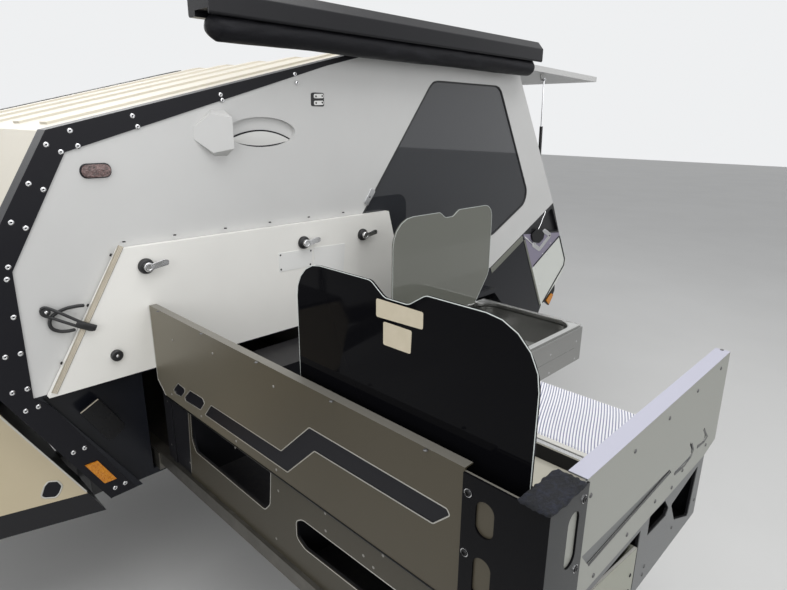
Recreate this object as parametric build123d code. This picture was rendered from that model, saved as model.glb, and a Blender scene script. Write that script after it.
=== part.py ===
"""Off-road teardrop camping trailer, parked with its side kitchen drawn out.

Millimetres. X points forward along the trailer, Y to its left, Z up. Stations are distances behind
the coupling's ball centre, so x = -station. Heights are above the ground. The model's origin is the
ball centre, so every finished piece is lowered by the coupling's height when it is written.
"""
from build123d import *
import os
from math import cos, hypot, pi, radians, sin, tan

# Driving dimensions of the body
COUPLING_HEIGHT = 500.0
HALF_WIDTH = 800.0
WALL = 25.0
SLIDE_FIT = 0.3
FLOOR_HEIGHT = 515.0
FLOOR_THICK = 20.0
DECK_HEIGHT = 905.0
DECK_THICK = 18.0
WAIST_HEIGHT = 912.0
NOSE_STATION = 1616.0
NOSE_HEIGHT = 1110.0
SHOULDER_STATION = 1918.0
SHOULDER_HEIGHT = 1617.0
PEAK_STATION = 3064.0
ROOF_HEIGHT = 1906.0
ROOF_REAR_STATION = 4063.0
HIP_STATION = 4527.0
HIP_HEIGHT = 1200.0
TOE_STATION = 1940.0
SILL_REAR_STATION = 4491.0
RISE_STATION = 3924.0
POCKET_DEPTH = 18.0

# Trim and roof
TRIM_THICK = 4.0
TRIM_RETURN = 62.0
RIB_COUNT = 5
RIB_WIDTH = 70.0
RIB_HEIGHT = 7.0

# Running gear
AXLE_STATION = 3650.0
WHEEL_RADIUS = 400.0
TYRE_WIDTH = 265.0
RIM_RADIUS = 203.0
TRACK_HALF = 760.0
HUB_BORE = 42.0
HUB_GAP = 0.3
STUD_CIRCLE = 150.0
STUD_COUNT = 6
STUD_RADIUS = 7.0
ARM_PIVOT_STATION = 3230.0
ARM_PIVOT_HEIGHT = 430.0
SPRING_STATION = 3560.0
SPRING_Y = 540.0
SPRING_BASE = 440.0
SPRING_TOP = 700.0
WELL_FRONT = 3216.0
WELL_REAR = 4130.0
WELL_SHEET = 4.0
WELL_TOP = DECK_HEIGHT - DECK_THICK - WELL_SHEET - 3.0
WELL_INNER = 462.0
ARCH_GAP = 34.0
GUARD_WIDTH = 106.0
GUARD_SHEET = 5.0
GUARD_LIP = 22.0

# Chassis
RAIL_HEIGHT = 100.0
RAIL_WIDTH = 50.0
RAIL_Y = 430.0
APEX_STATION = 150.0
APEX_Y = 52.0
CROSS_STATIONS = (2560.0, 3110.0, 4190.0)
REAR_CROSS_STATION = 4470.0
CHAIN_HOLE = 9.0
CHAIN_STATION = 300.0
CHAIN_Y = 18.0

# Kitchen, drawn out to the left
KITCHEN_FRONT = 2121.0
KITCHEN_REAR = 2960.0
KITCHEN_INNER = 836.0
KITCHEN_OUTER = 2162.0
KITCHEN_BASE = 600.0
BENCH_HEIGHT = 870.0
KITCHEN_WALL = 6.0
BOW_Y = 2040.0
BOW_HEIGHT = 648.0
PLATE_INNER = 1010.0
PLATE_OUTER = 2150.0
PANEL_THICK = 2.0
SHIELD_THICK = 4.0
SHIELD_GAP = 4.0
SHIELD_TOP = 1114.0
SHIELD_DEPTH = 282.0
SHIELD_FLANGE = 22.0
END_FLANGE = 34.0
FLANGE_THICK = 3.0
CORNER_DROP = 6.0
POST_WIDTH = 150.0
POST_DEPTH = 117.0
PAD_THICK = 8.0
PAD_LENGTH = 120.0
SINK_LENGTH = 580.0
SINK_WIDTH = 480.0
SINK_DEPTH = 150.0
SINK_Y = 1270.0
SINK_CLEAR = 12.0
SINK_TRAVEL = 600.0
STOVE_LENGTH = 470.0
STOVE_WIDTH = 570.0
STOVE_DEPTH = 60.0
HOB_DEPTH = 44.0
STOVE_Y = 1815.0
STOVE_LID_TOP = 1366.0
STOVE_LID_HALF = 298.0
SINK_LID_TOP = 1309.0
LID_THICK = 6.0
LID_SETBACK = 24.0

# Doors, hatch and struts
DOOR_FRONT = 1815.0
DOOR_REAR = 3247.0
DOOR_BOTTOM = 520.0
DOOR_THICK = 23.0
DOOR_RAKE = 238.0
LOCKER_SETBACK = 24.0
LOCKER_HINGES = 3
LEAF_WIDTH = 40.0
LEAF_THICK = 4.0
HATCH_THICK = 28.0
HATCH_OPEN = 55.0
HATCH_GAP = 8.0
STRUT_Y = 742.0
STRUT_TUBE = 9.0
STRUT_ROD = 4.0
STRUT_FOOT_STATION = 4440.0
STRUT_FOOT_HEIGHT = 1240.0
STRUT_REACH = 345.0
STRUT_DROP = 26.0
HATCH_HINGE_Y = 560.0
HATCH_KNUCKLE = 46.0
HINGE_RADIUS = 5.0
HINGE_SETBACK = 8.0

# Legs and jockey wheel
JOCKEY_STATION = 640.0
JOCKEY_Y = -310.0
JOCKEY_PIVOT = 452.0
JOCKEY_WHEEL = 125.0
JOCKEY_WIDTH = 78.0
JOCKEY_TRAIL = 62.0
LEG_STATION = 4380.0
LEG_Y = 570.0
LEG_PIVOT = 448.0
LEG_SIZE = 44.0
FOOT_SIZE = 92.0

# Front box and awning
BOX_FRONT = 1180.0
BOX_BROW = 1250.0
BOX_CREST = 1676.0
BOX_REAR = 1926.0
BOX_TOP = 925.0
BROW_HEIGHT = 865.0
BOX_CHIN = 740.0
BOX_BASE = 462.0
BOX_SHEET = 6.0
BOX_FLANGE = 20.0
BOX_HINGE_Y = 460.0
BOX_KNUCKLE = 50.0
BOX_NARROW = 560.0
BOX_HINGE = 1636.0
CASE_FRONT = 2330.0
CASE_REAR = 4075.0
CASE_HEIGHT = 92.0
CASE_DEPTH = 118.0
BAG_RADIUS = 40.0
BAG_RECESS = 16.0

parts = {}


def side_slab(profile, y_from, y_to, radius=0):
    """Extrude a (station, height) outline across the trailer between two y values."""
    low, high = min(y_from, y_to), max(y_from, y_to)
    outline = Polygon(*[(-station, height) for station, height in profile], align=None)
    if radius:
        outline = fillet(outline.vertices(), radius)
    plane = Plane(origin=(0, high, 0), x_dir=(1, 0, 0), z_dir=(0, -1, 0))
    return extrude(plane * outline, amount=high - low, dir=(0, -1, 0))


def cross_slab(profile, station_from, station_to, radius=0):
    """Extrude a (y, height) outline along the trailer between two stations."""
    near, far = min(station_from, station_to), max(station_from, station_to)
    outline = Polygon(*profile, align=None)
    if radius:
        outline = fillet(outline.vertices(), radius)
    plane = Plane(origin=(-far, 0, 0), x_dir=(0, 1, 0), z_dir=(1, 0, 0))
    return extrude(plane * outline, amount=far - near, dir=(1, 0, 0))


def flat_slab(profile, low, high, radius=0):
    """Extrude a (station, y) outline upwards between two heights."""
    outline = Polygon(*[(-station, y) for station, y in profile], align=None)
    if radius:
        outline = fillet(outline.vertices(), radius)
    return extrude(Plane.XY.offset(low) * outline, amount=high - low, dir=(0, 0, 1))


def block(station_from, station_to, y_from, y_to, low, high):
    """A plain cuboid between two stations, two y values and two heights."""
    size = (abs(station_to - station_from), abs(y_to - y_from), high - low)
    centre = (-(station_from + station_to) / 2, (y_from + y_to) / 2, (low + high) / 2)
    return Pos(*centre) * Box(*size)


def rod(start, end, radius, bore=0):
    """A round bar or tube between two (station, y, height) points."""
    first = Vector(-start[0], start[1], start[2])
    last = Vector(-end[0], end[1], end[2])
    plane = Plane(origin=first, z_dir=last - first)
    bar = extrude(plane * Circle(radius), amount=(last - first).length)
    if bore:
        bar -= extrude(plane * Circle(bore), amount=(last - first).length)
    return bar


def both(piece):
    """The piece with its mirror image on the other side of the trailer."""
    return piece + mirror(piece, about=Plane.XZ)


def about_y(piece, station, height, angle):
    """Turn a piece about a cross axis at a station and height; positive lifts what lies behind it."""
    there = Pos(-station, 0, height)
    return there * Rot(0, angle, 0) * there.inverse() * piece


def keep(name, piece):
    """File a finished piece under its node name."""
    parts[name] = piece


def keep_pair(name, left):
    """File a left-hand piece and its mirror image as two nodes."""
    keep(name + "_left", left)
    keep(name + "_right", mirror(left, about=Plane.XZ))


# Body outline, nose to hip, as (station, height)
TOE = (TOE_STATION, FLOOR_HEIGHT)
NOSE = (NOSE_STATION, NOSE_HEIGHT)
SHOULDER = (SHOULDER_STATION, SHOULDER_HEIGHT)
PEAK = (PEAK_STATION, ROOF_HEIGHT)
ROOF_REAR = (ROOF_REAR_STATION, ROOF_HEIGHT)
HIP = (HIP_STATION, HIP_HEIGHT)


def shifted(points, distance):
    """Move an open chain of (station, height) points to its outer side by a distance, mitred."""
    normals = []
    for first, second in zip(points, points[1:]):
        length = hypot(second[0] - first[0], second[1] - first[1])
        normals.append((-(second[1] - first[1]) / length, (second[0] - first[0]) / length))
    moved = []
    for index, point in enumerate(points):
        before = normals[max(index - 1, 0)]
        after = normals[min(index, len(normals) - 1)]
        bend = 1 + before[0] * after[0] + before[1] * after[1]
        moved.append((point[0] + distance * (before[0] + after[0]) / bend,
                      point[1] + distance * (before[1] + after[1]) / bend))
    return moved


def shell_band(points, inner, outer, y_from, y_to):
    """A plate that follows a chain of body corners, between two distances from it."""
    chain = shifted(points, outer) + list(reversed(shifted(points, inner)))
    return side_slab(chain, y_from, y_to)


# Chassis: two rails with cross members, and the drawbar's two converging rails
rail_top = FLOOR_HEIGHT
rail_base = rail_top - RAIL_HEIGHT
rail_in = RAIL_Y - RAIL_WIDTH / 2
rail_out = RAIL_Y + RAIL_WIDTH / 2
first_cross = TOE_STATION
chassis = block(first_cross, first_cross + RAIL_WIDTH, -rail_out - 140, rail_out + 140, rail_base, rail_top)
for side in (-1, 1):
    chassis += block(first_cross, REAR_CROSS_STATION, side * rail_in, side * rail_out, rail_base, rail_top)
for station in CROSS_STATIONS:
    chassis += block(station, station + RAIL_WIDTH, -rail_in, rail_in, rail_base + 20, rail_top)
chassis += block(REAR_CROSS_STATION - RAIL_WIDTH, REAR_CROSS_STATION, -LEG_Y - 60, LEG_Y + 60, rail_base,
                 rail_top)

drawbar = Part()
for side in (-1, 1):
    rail = flat_slab([(APEX_STATION, side * (APEX_Y - 50)), (APEX_STATION, side * APEX_Y),
                      (TOE_STATION, side * rail_out), (TOE_STATION, side * (rail_in - 8))],
                     rail_base, rail_top)
    drawbar += rail
drawbar += block(APEX_STATION - 10, APEX_STATION, -APEX_Y, APEX_Y, rail_base - 4, rail_top + 4)
drawbar += flat_slab([(APEX_STATION, -APEX_Y), (APEX_STATION, APEX_Y), (480, 118), (480, -118)],
                     rail_top, rail_top + 8)

# Coupling: a cast head with a ball socket that opens downwards, on a stem between the drawbar rails
BALL_RADIUS = 25.5
HEAD_RADIUS = 44.0
SOCKET_DEPTH = 30.0
coupling = Pos(0, 0, COUPLING_HEIGHT - SOCKET_DEPTH / 2) * Cylinder(HEAD_RADIUS, SOCKET_DEPTH)
coupling += Pos(0, 0, COUPLING_HEIGHT) * Sphere(HEAD_RADIUS)
coupling += block(0, APEX_STATION - 10, -34, 34, COUPLING_HEIGHT - 26, COUPLING_HEIGHT + 30)
coupling -= Pos(0, 0, COUPLING_HEIGHT - 50) * Box(200, 200, 40)
coupling -= Pos(0, 0, COUPLING_HEIGHT - SOCKET_DEPTH / 2) * Cylinder(BALL_RADIUS, SOCKET_DEPTH)
coupling -= Pos(0, 0, COUPLING_HEIGHT) * Sphere(BALL_RADIUS)
latch = rod((30, 0, COUPLING_HEIGHT + 34), (110, 0, COUPLING_HEIGHT + 62), 9)
keep("coupling", coupling + latch)

# Floor, wheel wells, bed deck and the liner of the kitchen bay
INNER_WIDTH = HALF_WIDTH - WALL
floor_top = FLOOR_HEIGHT + FLOOR_THICK
LOWER_WALL_IN = HALF_WIDTH - 55.0
LOWER_WALL_OUT = HALF_WIDTH - 30.0
floor = block(TOE_STATION + 32, SILL_REAR_STATION - 36, -LOWER_WALL_IN, LOWER_WALL_IN, FLOOR_HEIGHT,
              floor_top)
floor += block(WELL_REAR, SILL_REAR_STATION - 36, -INNER_WIDTH, INNER_WIDTH, FLOOR_HEIGHT, floor_top)
for side in (-1, 1):
    floor -= block(WELL_FRONT - WELL_SHEET, WELL_REAR + WELL_SHEET, side * (WELL_INNER - WELL_SHEET),
                   side * HALF_WIDTH, 0, DECK_HEIGHT)
keep("body_floor", floor)

REAR_WALL_START = DOOR_REAR + 8
well = block(WELL_FRONT - WELL_SHEET, WELL_REAR + WELL_SHEET, WELL_INNER - WELL_SHEET, LOWER_WALL_IN,
             FLOOR_HEIGHT, WELL_TOP + WELL_SHEET)
well += block(REAR_WALL_START, WELL_REAR + WELL_SHEET, WELL_INNER, INNER_WIDTH, FLOOR_HEIGHT,
              WELL_TOP + WELL_SHEET)
well -= block(WELL_FRONT, WELL_REAR, WELL_INNER, HALF_WIDTH, 0, WELL_TOP)
keep("wheel_wells", both(well))

front_slope = (NOSE_HEIGHT - FLOOR_HEIGHT) / (TOE_STATION - NOSE_STATION)


def arch_line(radius):
    """The upper half of an octagon about the axle, from front to rear, as (station, height)."""
    half_side = radius * tan(pi / 8)
    return [(AXLE_STATION + back, WHEEL_RADIUS + up)
            for back, up in ((-radius, half_side), (-half_side, radius), (half_side, radius),
                             (radius, half_side))]


def strip_station(height):
    """The station of the body's lower front edge at a height."""
    return TOE_STATION - (height - FLOOR_HEIGHT) / front_slope


deck_base = DECK_HEIGHT - DECK_THICK
DECK_REAR = 4300.0
deck = block(strip_station(deck_base) + WALL + 12, DECK_REAR, -LOWER_WALL_IN, LOWER_WALL_IN, deck_base,
             DECK_HEIGHT)
deck += block(REAR_WALL_START, DECK_REAR, -INNER_WIDTH, INNER_WIDTH, deck_base, DECK_HEIGHT)
keep("bed_deck", deck)

BAY_FRONT = 2088.0
BAY_REAR = 3016.0
BAY_END = -610.0
BAY_SHEET = 8.0
bay = block(BAY_FRONT - BAY_SHEET, BAY_REAR + BAY_SHEET, BAY_END - BAY_SHEET, LOWER_WALL_IN,
            floor_top, deck_base)
bay -= block(BAY_FRONT, BAY_REAR, BAY_END, HALF_WIDTH, floor_top, deck_base)
keep("kitchen_bay", bay)

# Lower side walls, with the band under the edge trim standing out to the doors' outer face
DOOR_TOP = WAIST_HEIGHT - 12
DOOR_AXIS = WAIST_HEIGHT - 7
LEDGE_BASE = WAIST_HEIGHT - 6
TAIL_FRONT = (4226.0, 1056.0)
SILL = (SILL_REAR_STATION, 578.0)
lower_outline = [TOE, (strip_station(WAIST_HEIGHT), WAIST_HEIGHT), (REAR_WALL_START, WAIST_HEIGHT),
                 (REAR_WALL_START, FLOOR_HEIGHT)]
band_outline = [TOE, (strip_station(WAIST_HEIGHT), WAIST_HEIGHT), (DOOR_FRONT - 16, WAIST_HEIGHT),
                (DOOR_FRONT - 16 + DOOR_RAKE, FLOOR_HEIGHT)]
bay_mouth = [(BAY_FRONT, floor_top), (BAY_FRONT, deck_base - 6), (BAY_REAR, deck_base - 6),
             (BAY_REAR, floor_top)]
locker_mouth = [(DOOR_FRONT + DOOR_RAKE, floor_top + 20), (DOOR_FRONT + 90, deck_base - 12),
                (DOOR_REAR - 150, deck_base - 12), (DOOR_REAR - 190, floor_top + 20)]
ARCH_RADIUS = WHEEL_RADIUS + ARCH_GAP
ARCH = arch_line(ARCH_RADIUS) + [(AXLE_STATION + ARCH_RADIUS, FLOOR_HEIGHT - 1),
                                 (AXLE_STATION - ARCH_RADIUS, FLOOR_HEIGHT - 1)]
side_walls = {}
for side, mouth in ((1, bay_mouth), (-1, locker_mouth)):
    wall = side_slab(lower_outline, side * LOWER_WALL_IN, side * LOWER_WALL_OUT)
    wall += side_slab(band_outline, side * LOWER_WALL_OUT, side * HALF_WIDTH)
    ledge = [(strip_station(LEDGE_BASE), LEDGE_BASE), (strip_station(WAIST_HEIGHT), WAIST_HEIGHT),
             (REAR_WALL_START, WAIST_HEIGHT), (REAR_WALL_START, LEDGE_BASE)]
    wall += side_slab(ledge, side * LOWER_WALL_IN, side * HALF_WIDTH)
    wall -= side_slab(mouth, side * (LOWER_WALL_IN - 5), side * (LOWER_WALL_OUT + 5))
    wall -= side_slab(ARCH, side * (LOWER_WALL_IN - 1), side * (HALF_WIDTH + 1))
    side_walls[side] = wall

# Rear side walls round the wheels, and the tail box behind them
rear_outline = [(REAR_WALL_START, FLOOR_HEIGHT), (REAR_WALL_START, WAIST_HEIGHT),
                (RISE_STATION, WAIST_HEIGHT),
                TAIL_FRONT, SILL, (SILL_REAR_STATION - 36, FLOOR_HEIGHT)]
rear_wall = side_slab(rear_outline, INNER_WIDTH, HALF_WIDTH)
rear_wall -= side_slab(ARCH, INNER_WIDTH - 5, HALF_WIDTH + 5)
keep("lower_side_left", side_walls[1] + rear_wall)

TAIL = [TAIL_FRONT, HIP, (4637.0, 1000.0), (4755.0, 816.0), (4708.0, 731.0), SILL]
tail = side_slab(TAIL, -HALF_WIDTH, HALF_WIDTH)
tail -= block(TAIL_FRONT[0] - 1, 4470, -INNER_WIDTH, INNER_WIDTH, DECK_HEIGHT, HIP_HEIGHT)
tail_hollow = [(4350, 880), (4640, 880), (4690, 816), (4672, 748), (4500, 612)]
tail -= side_slab(tail_hollow, -INNER_WIDTH, INNER_WIDTH)
pocket = [(TAIL_FRONT[0] + 60, TAIL_FRONT[1] + 8), (HIP_STATION - 6, HIP_HEIGHT - 30),
          (TAIL[2][0] - 20, TAIL[2][1] + 22)]
for side in (-1, 1):
    tail -= side_slab(pocket, side * (HALF_WIDTH - POCKET_DEPTH), side * (HALF_WIDTH + 1), radius=8)
keep("tail_box", tail)

# Upper side walls of one thick panel each, with a window cut through
WINDOW = [(PEAK_STATION + 356, ROOF_HEIGHT - 91), (ROOF_REAR_STATION - 146, ROOF_HEIGHT - 91),
          (HIP_STATION - 296, HIP_HEIGHT + 90), (HIP_STATION - 315, HIP_HEIGHT + 26),
          (RISE_STATION - 9, WAIST_HEIGHT + 172), (PEAK_STATION - 214, WAIST_HEIGHT + 172)]
upper_outline = [(strip_station(WAIST_HEIGHT), WAIST_HEIGHT), NOSE, SHOULDER, PEAK, ROOF_REAR, HIP,
                 TAIL_FRONT, (RISE_STATION, WAIST_HEIGHT)]
window_hole = side_slab(WINDOW, INNER_WIDTH - 5, HALF_WIDTH + 5, radius=38)
DISH = (SHOULDER_STATION + 644, SHOULDER_HEIGHT - 6)
DISH_HALF_LENGTH = 133.0
DISH_HALF_HEIGHT = 48.0
DISH_DEPTH = 14.0
upper = side_slab(upper_outline, INNER_WIDTH, HALF_WIDTH) - window_hole
dish = extrude(Ellipse(DISH_HALF_LENGTH, DISH_HALF_HEIGHT), amount=DISH_DEPTH, both=True)
upper -= Pos(-DISH[0], HALF_WIDTH, DISH[1]) * Rot(90, 0, 0) * dish
keep_pair("upper_side", upper)
pane = side_slab(WINDOW, HALF_WIDTH - 9, HALF_WIDTH - 3, radius=38)
keep("windows", both(pane))

# Roof in one piece from the nose to the hatch, ribbed lengthwise, and the front panel under the nose
roof = shell_band((NOSE, SHOULDER, PEAK, ROOF_REAR), -WALL, 0, -INNER_WIDTH, INNER_WIDTH)
rib_pitch = 2 * (INNER_WIDTH - TRIM_RETURN) / RIB_COUNT
for index in range(RIB_COUNT):
    y = (index - (RIB_COUNT - 1) / 2) * rib_pitch
    slope = [(SHOULDER_STATION + 60, SHOULDER_HEIGHT + 60 * (ROOF_HEIGHT - SHOULDER_HEIGHT)
              / (PEAK_STATION - SHOULDER_STATION)), PEAK, (ROOF_REAR_STATION - 60, ROOF_HEIGHT)]
    roof += shell_band(slope, 0, RIB_HEIGHT, y - RIB_WIDTH / 2, y + RIB_WIDTH / 2)
front_panel = shell_band((TOE, NOSE), -WALL, 0, -INNER_WIDTH, INNER_WIDTH)
front_panel -= shell_band((NOSE, SHOULDER), -WALL, 2 * WALL, -INNER_WIDTH, INNER_WIDTH)
for side in (-1, 1):
    front_panel -= block(NOSE_STATION, TOE_STATION + 60, side * LOWER_WALL_IN, side * HALF_WIDTH, 0,
                         WAIST_HEIGHT)
keep("front_panel", front_panel)

# Black angle trim: a flat band on the side wall and a return over the front and roof edges
TRIM_INNER = [(3064, 1893), (2835, 1834), (1953, 1564), (1788, 1270), (1782, 914), (1820, 876), (2011, 517)]
trim_side = [TOE, NOSE, SHOULDER, PEAK] + TRIM_INNER
trim = side_slab(trim_side, HALF_WIDTH, HALF_WIDTH + TRIM_THICK)
trim += shell_band((TOE, NOSE, SHOULDER, PEAK), 0, TRIM_THICK, HALF_WIDTH - TRIM_RETURN,
                   HALF_WIDTH + TRIM_THICK)
keep("edge_trims", both(trim))

# Mattress on the deck
MATTRESS_THICK = 130.0
MATTRESS_FRONT = 2600.0
MATTRESS_REAR = 4455.0
mattress_half = INNER_WIDTH - 60
mattress = flat_slab([(MATTRESS_FRONT, -mattress_half), (MATTRESS_FRONT, mattress_half),
                      (MATTRESS_REAR, mattress_half), (MATTRESS_REAR, -mattress_half)],
                     DECK_HEIGHT, DECK_HEIGHT + MATTRESS_THICK, radius=50)
keep("mattress", mattress)

# Rear hatch, made closed on its frame and swung up on its top hinge; its gas struts stand beside the bed
hatch_line = (ROOF_REAR, HIP)
hinge_point = shifted(hatch_line, HATCH_GAP)[0]
rear_run = hypot(HIP_STATION - ROOF_REAR_STATION, ROOF_HEIGHT - HIP_HEIGHT)
along = ((HIP_STATION - ROOF_REAR_STATION) / rear_run, (HIP_HEIGHT - ROOF_HEIGHT) / rear_run)


def on_hatch(distance, depth=0):
    """A (station, height) point down the closed hatch's inner face from its hinge, and out from it."""
    return (hinge_point[0] + along[0] * distance - along[1] * depth,
            hinge_point[1] + along[1] * distance + along[0] * depth)


hatch = side_slab([on_hatch(HINGE_SETBACK), on_hatch(HINGE_SETBACK, HATCH_THICK),
                   on_hatch(rear_run, HATCH_THICK), on_hatch(rear_run)], -HALF_WIDTH, HALF_WIDTH)
hinge_knuckles = Part()
for middle in (-HATCH_HINGE_Y, 0, HATCH_HINGE_Y):
    knuckle_half = HATCH_KNUCKLE / 2
    hinge_knuckles += rod((hinge_point[0], middle - knuckle_half, hinge_point[1]),
                          (hinge_point[0], middle + knuckle_half, hinge_point[1]), HINGE_RADIUS)
    roof_leaf = [(ROOF_REAR_STATION - 40, ROOF_HEIGHT), (ROOF_REAR_STATION - 40, ROOF_HEIGHT + 4),
                 (hinge_point[0], hinge_point[1] + HINGE_RADIUS), hinge_point,
                 (ROOF_REAR_STATION - 4, ROOF_HEIGHT)]
    hinge_knuckles += side_slab(roof_leaf, middle - knuckle_half, middle + knuckle_half)
    for side in (-1, 1):
        near = middle + side * (knuckle_half + SLIDE_FIT)
        far = near + side * HATCH_KNUCKLE
        hatch += rod((hinge_point[0], near, hinge_point[1]), (hinge_point[0], far, hinge_point[1]),
                     HINGE_RADIUS)
        hatch += side_slab([on_hatch(0), on_hatch(0, HINGE_RADIUS),
                            on_hatch(HINGE_SETBACK + 1, HINGE_RADIUS + 4),
                            on_hatch(HINGE_SETBACK + 1)], near, far)
keep("roof_panel", roof + hinge_knuckles)
strut_head = on_hatch(STRUT_REACH, -STRUT_DROP)
for side in (-1, 1):
    lug = [on_hatch(STRUT_REACH - 18), on_hatch(STRUT_REACH + 18), on_hatch(STRUT_REACH + 8, -STRUT_DROP),
           on_hatch(STRUT_REACH - 8, -STRUT_DROP)]
    hatch += side_slab(lug, side * (STRUT_Y - 18), side * (STRUT_Y - 12))
    hatch += rod((strut_head[0], side * (STRUT_Y - 18), strut_head[1]),
                 (strut_head[0], side * (STRUT_Y - 6), strut_head[1]), 4)
keep("rear_hatch", about_y(hatch, hinge_point[0], hinge_point[1], HATCH_OPEN))


def turned(point, angle):
    """A (station, height) point of the closed hatch after the hatch has swung up by an angle."""
    back, up = point[0] - hinge_point[0], point[1] - hinge_point[1]
    turn = radians(angle)
    return (hinge_point[0] + back * cos(turn) - up * sin(turn),
            hinge_point[1] + up * cos(turn) + back * sin(turn))


head_open = turned(strut_head, HATCH_OPEN)
foot = (STRUT_FOOT_STATION, STRUT_FOOT_HEIGHT)
open_length = hypot(head_open[0] - foot[0], head_open[1] - foot[1])
shut_length = hypot(strut_head[0] - foot[0], strut_head[1] - foot[1])


def strut_piece(radius, start, end, hole=0):
    """A bar of the left strut between two distances from its foot, towards the open hatch."""
    way = ((head_open[0] - foot[0]) / open_length, (head_open[1] - foot[1]) / open_length)
    return rod((foot[0] + way[0] * start, STRUT_Y, foot[1] + way[1] * start),
               (foot[0] + way[0] * end, STRUT_Y, foot[1] + way[1] * end), radius, hole)


def eye(point, outer, hole, width):
    """A ring round a cross pin at a (station, height) point, in the strut's plane."""
    start = (point[0], STRUT_Y - width / 2, point[1])
    end = (point[0], STRUT_Y + width / 2, point[1])
    return rod(start, end, outer, hole)


tube_length = shut_length - 30
strut_tube = strut_piece(STRUT_TUBE, 5, tube_length) - strut_piece(STRUT_ROD + 0.3, 30, tube_length + 5)
strut_tube += eye(foot, 9, 0, 10) - eye(foot, 5.3, 0, 14)
keep("strut_tubes", both(strut_tube - eye(foot, 5.3, 0, 14)))
strut_rod = strut_piece(STRUT_ROD, open_length - tube_length + 6, open_length - 7)
keep("strut_rods", both(strut_rod + eye(head_open, 9, 5, 8) - eye(head_open, 5, 0, 12)))
pin = rod((foot[0], STRUT_Y - 6, foot[1]), (foot[0], INNER_WIDTH, foot[1]), 5)
keep("strut_pins",
     both(pin + rod((foot[0], INNER_WIDTH - 14, foot[1]), (foot[0], INNER_WIDTH, foot[1]), 14)))

# Running gear: trailing arms on pivots under the rails, coil springs, dampers, stub axles
arm_inner = 488.0
arm_outer = TRACK_HALF - 190.0
hub_face = TRACK_HALF - 62.0
arm_outline = [(ARM_PIVOT_STATION - 38, 400), (ARM_PIVOT_STATION - 38, 460), (3480, SPRING_BASE),
               (AXLE_STATION + 62, SPRING_BASE), (AXLE_STATION + 62, 360), (3480, 372)]
arm = side_slab(arm_outline, arm_outer - 60, arm_outer)
arm += rod((SPRING_STATION, SPRING_Y, SPRING_BASE - 8), (SPRING_STATION, SPRING_Y, SPRING_BASE), 60)
arm += rod((ARM_PIVOT_STATION, arm_inner, ARM_PIVOT_HEIGHT),
           (ARM_PIVOT_STATION, arm_outer - 60, ARM_PIVOT_HEIGHT), 32)
arm += rod((AXLE_STATION, arm_outer, WHEEL_RADIUS), (AXLE_STATION, arm_outer + 22, WHEEL_RADIUS), 58)
spindle_radius = HUB_BORE / 2
arm += rod((AXLE_STATION, arm_outer + 22, WHEEL_RADIUS), (AXLE_STATION, hub_face + 40, WHEEL_RADIUS),
           spindle_radius)
keep("trailing_arms", both(arm))

seat = rod((SPRING_STATION, SPRING_Y, SPRING_TOP), (SPRING_STATION, SPRING_Y, SPRING_TOP + 16), 64)
seat += block(SPRING_STATION - 60, SPRING_STATION + 60, WELL_INNER, SPRING_Y, SPRING_TOP, SPRING_TOP + 16)
seat += block(SPRING_STATION - 60, SPRING_STATION + 60, WELL_INNER, WELL_INNER + 8, rail_base + 10,
              SPRING_TOP)
seat += block(SPRING_STATION - 60, SPRING_STATION + 60, rail_out, WELL_INNER, rail_base + 10, rail_top)
pivot_bracket = block(ARM_PIVOT_STATION - 45, ARM_PIVOT_STATION + 45, rail_out, rail_out + 8, 385, rail_top)
pivot_bracket += rod((ARM_PIVOT_STATION, rail_out + 8, ARM_PIVOT_HEIGHT),
                     (ARM_PIVOT_STATION, arm_inner, ARM_PIVOT_HEIGHT), 22)
chassis += both(seat + pivot_bracket)

SPRING_TURNS = 5
SPRING_RADIUS = 50.0
SPRING_WIRE = 7.0
coil_path = Pos(-SPRING_STATION, SPRING_Y, SPRING_BASE + SPRING_WIRE) * Helix(
    pitch=(SPRING_TOP - SPRING_BASE - 2 * SPRING_WIRE) / SPRING_TURNS,
    height=SPRING_TOP - SPRING_BASE - 2 * SPRING_WIRE, radius=SPRING_RADIUS)
spring = sweep(Plane(origin=coil_path @ 0, z_dir=coil_path % 0) * Circle(SPRING_WIRE), path=coil_path)
damper = rod((SPRING_STATION, SPRING_Y, SPRING_BASE), (SPRING_STATION, SPRING_Y, SPRING_TOP), 14)
damper += rod((SPRING_STATION, SPRING_Y, SPRING_BASE), (SPRING_STATION, SPRING_Y, SPRING_BASE + 130), 24)
keep("springs", both(spring))
keep("dampers", both(damper))

# Wheels: hub drum, six-spoke alloy rim and tyre, all revolved about the axle
def revolved(profile, y_centre):
    """Revolve a (y offset, radius) outline about the axle at a wheel's centre plane."""
    outline = Polygon(*profile, align=None)
    plane = Plane(origin=(-AXLE_STATION, y_centre, WHEEL_RADIUS), x_dir=(0, 1, 0), z_dir=(1, 0, 0))
    axle = Axis((-AXLE_STATION, y_centre, WHEEL_RADIUS), (0, 1, 0))
    return revolve(plane * outline, axle)


half_tyre = TYRE_WIDTH / 2
half_rim = 102.0
tyre_profile = [(-half_rim, RIM_RADIUS), (-half_rim - 14, RIM_RADIUS + 18), (-half_tyre, 300),
                (-half_tyre, 330),
                (-half_tyre + 12, 372), (-half_tyre + 34, 394), (-60, WHEEL_RADIUS), (60, WHEEL_RADIUS),
                (half_tyre - 34, 394), (half_tyre - 12, 372), (half_tyre, 330), (half_tyre, 300),
                (half_rim + 14, RIM_RADIUS + 18), (half_rim, RIM_RADIUS)]
keep_pair("tyre", revolved(tyre_profile, TRACK_HALF))

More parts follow.
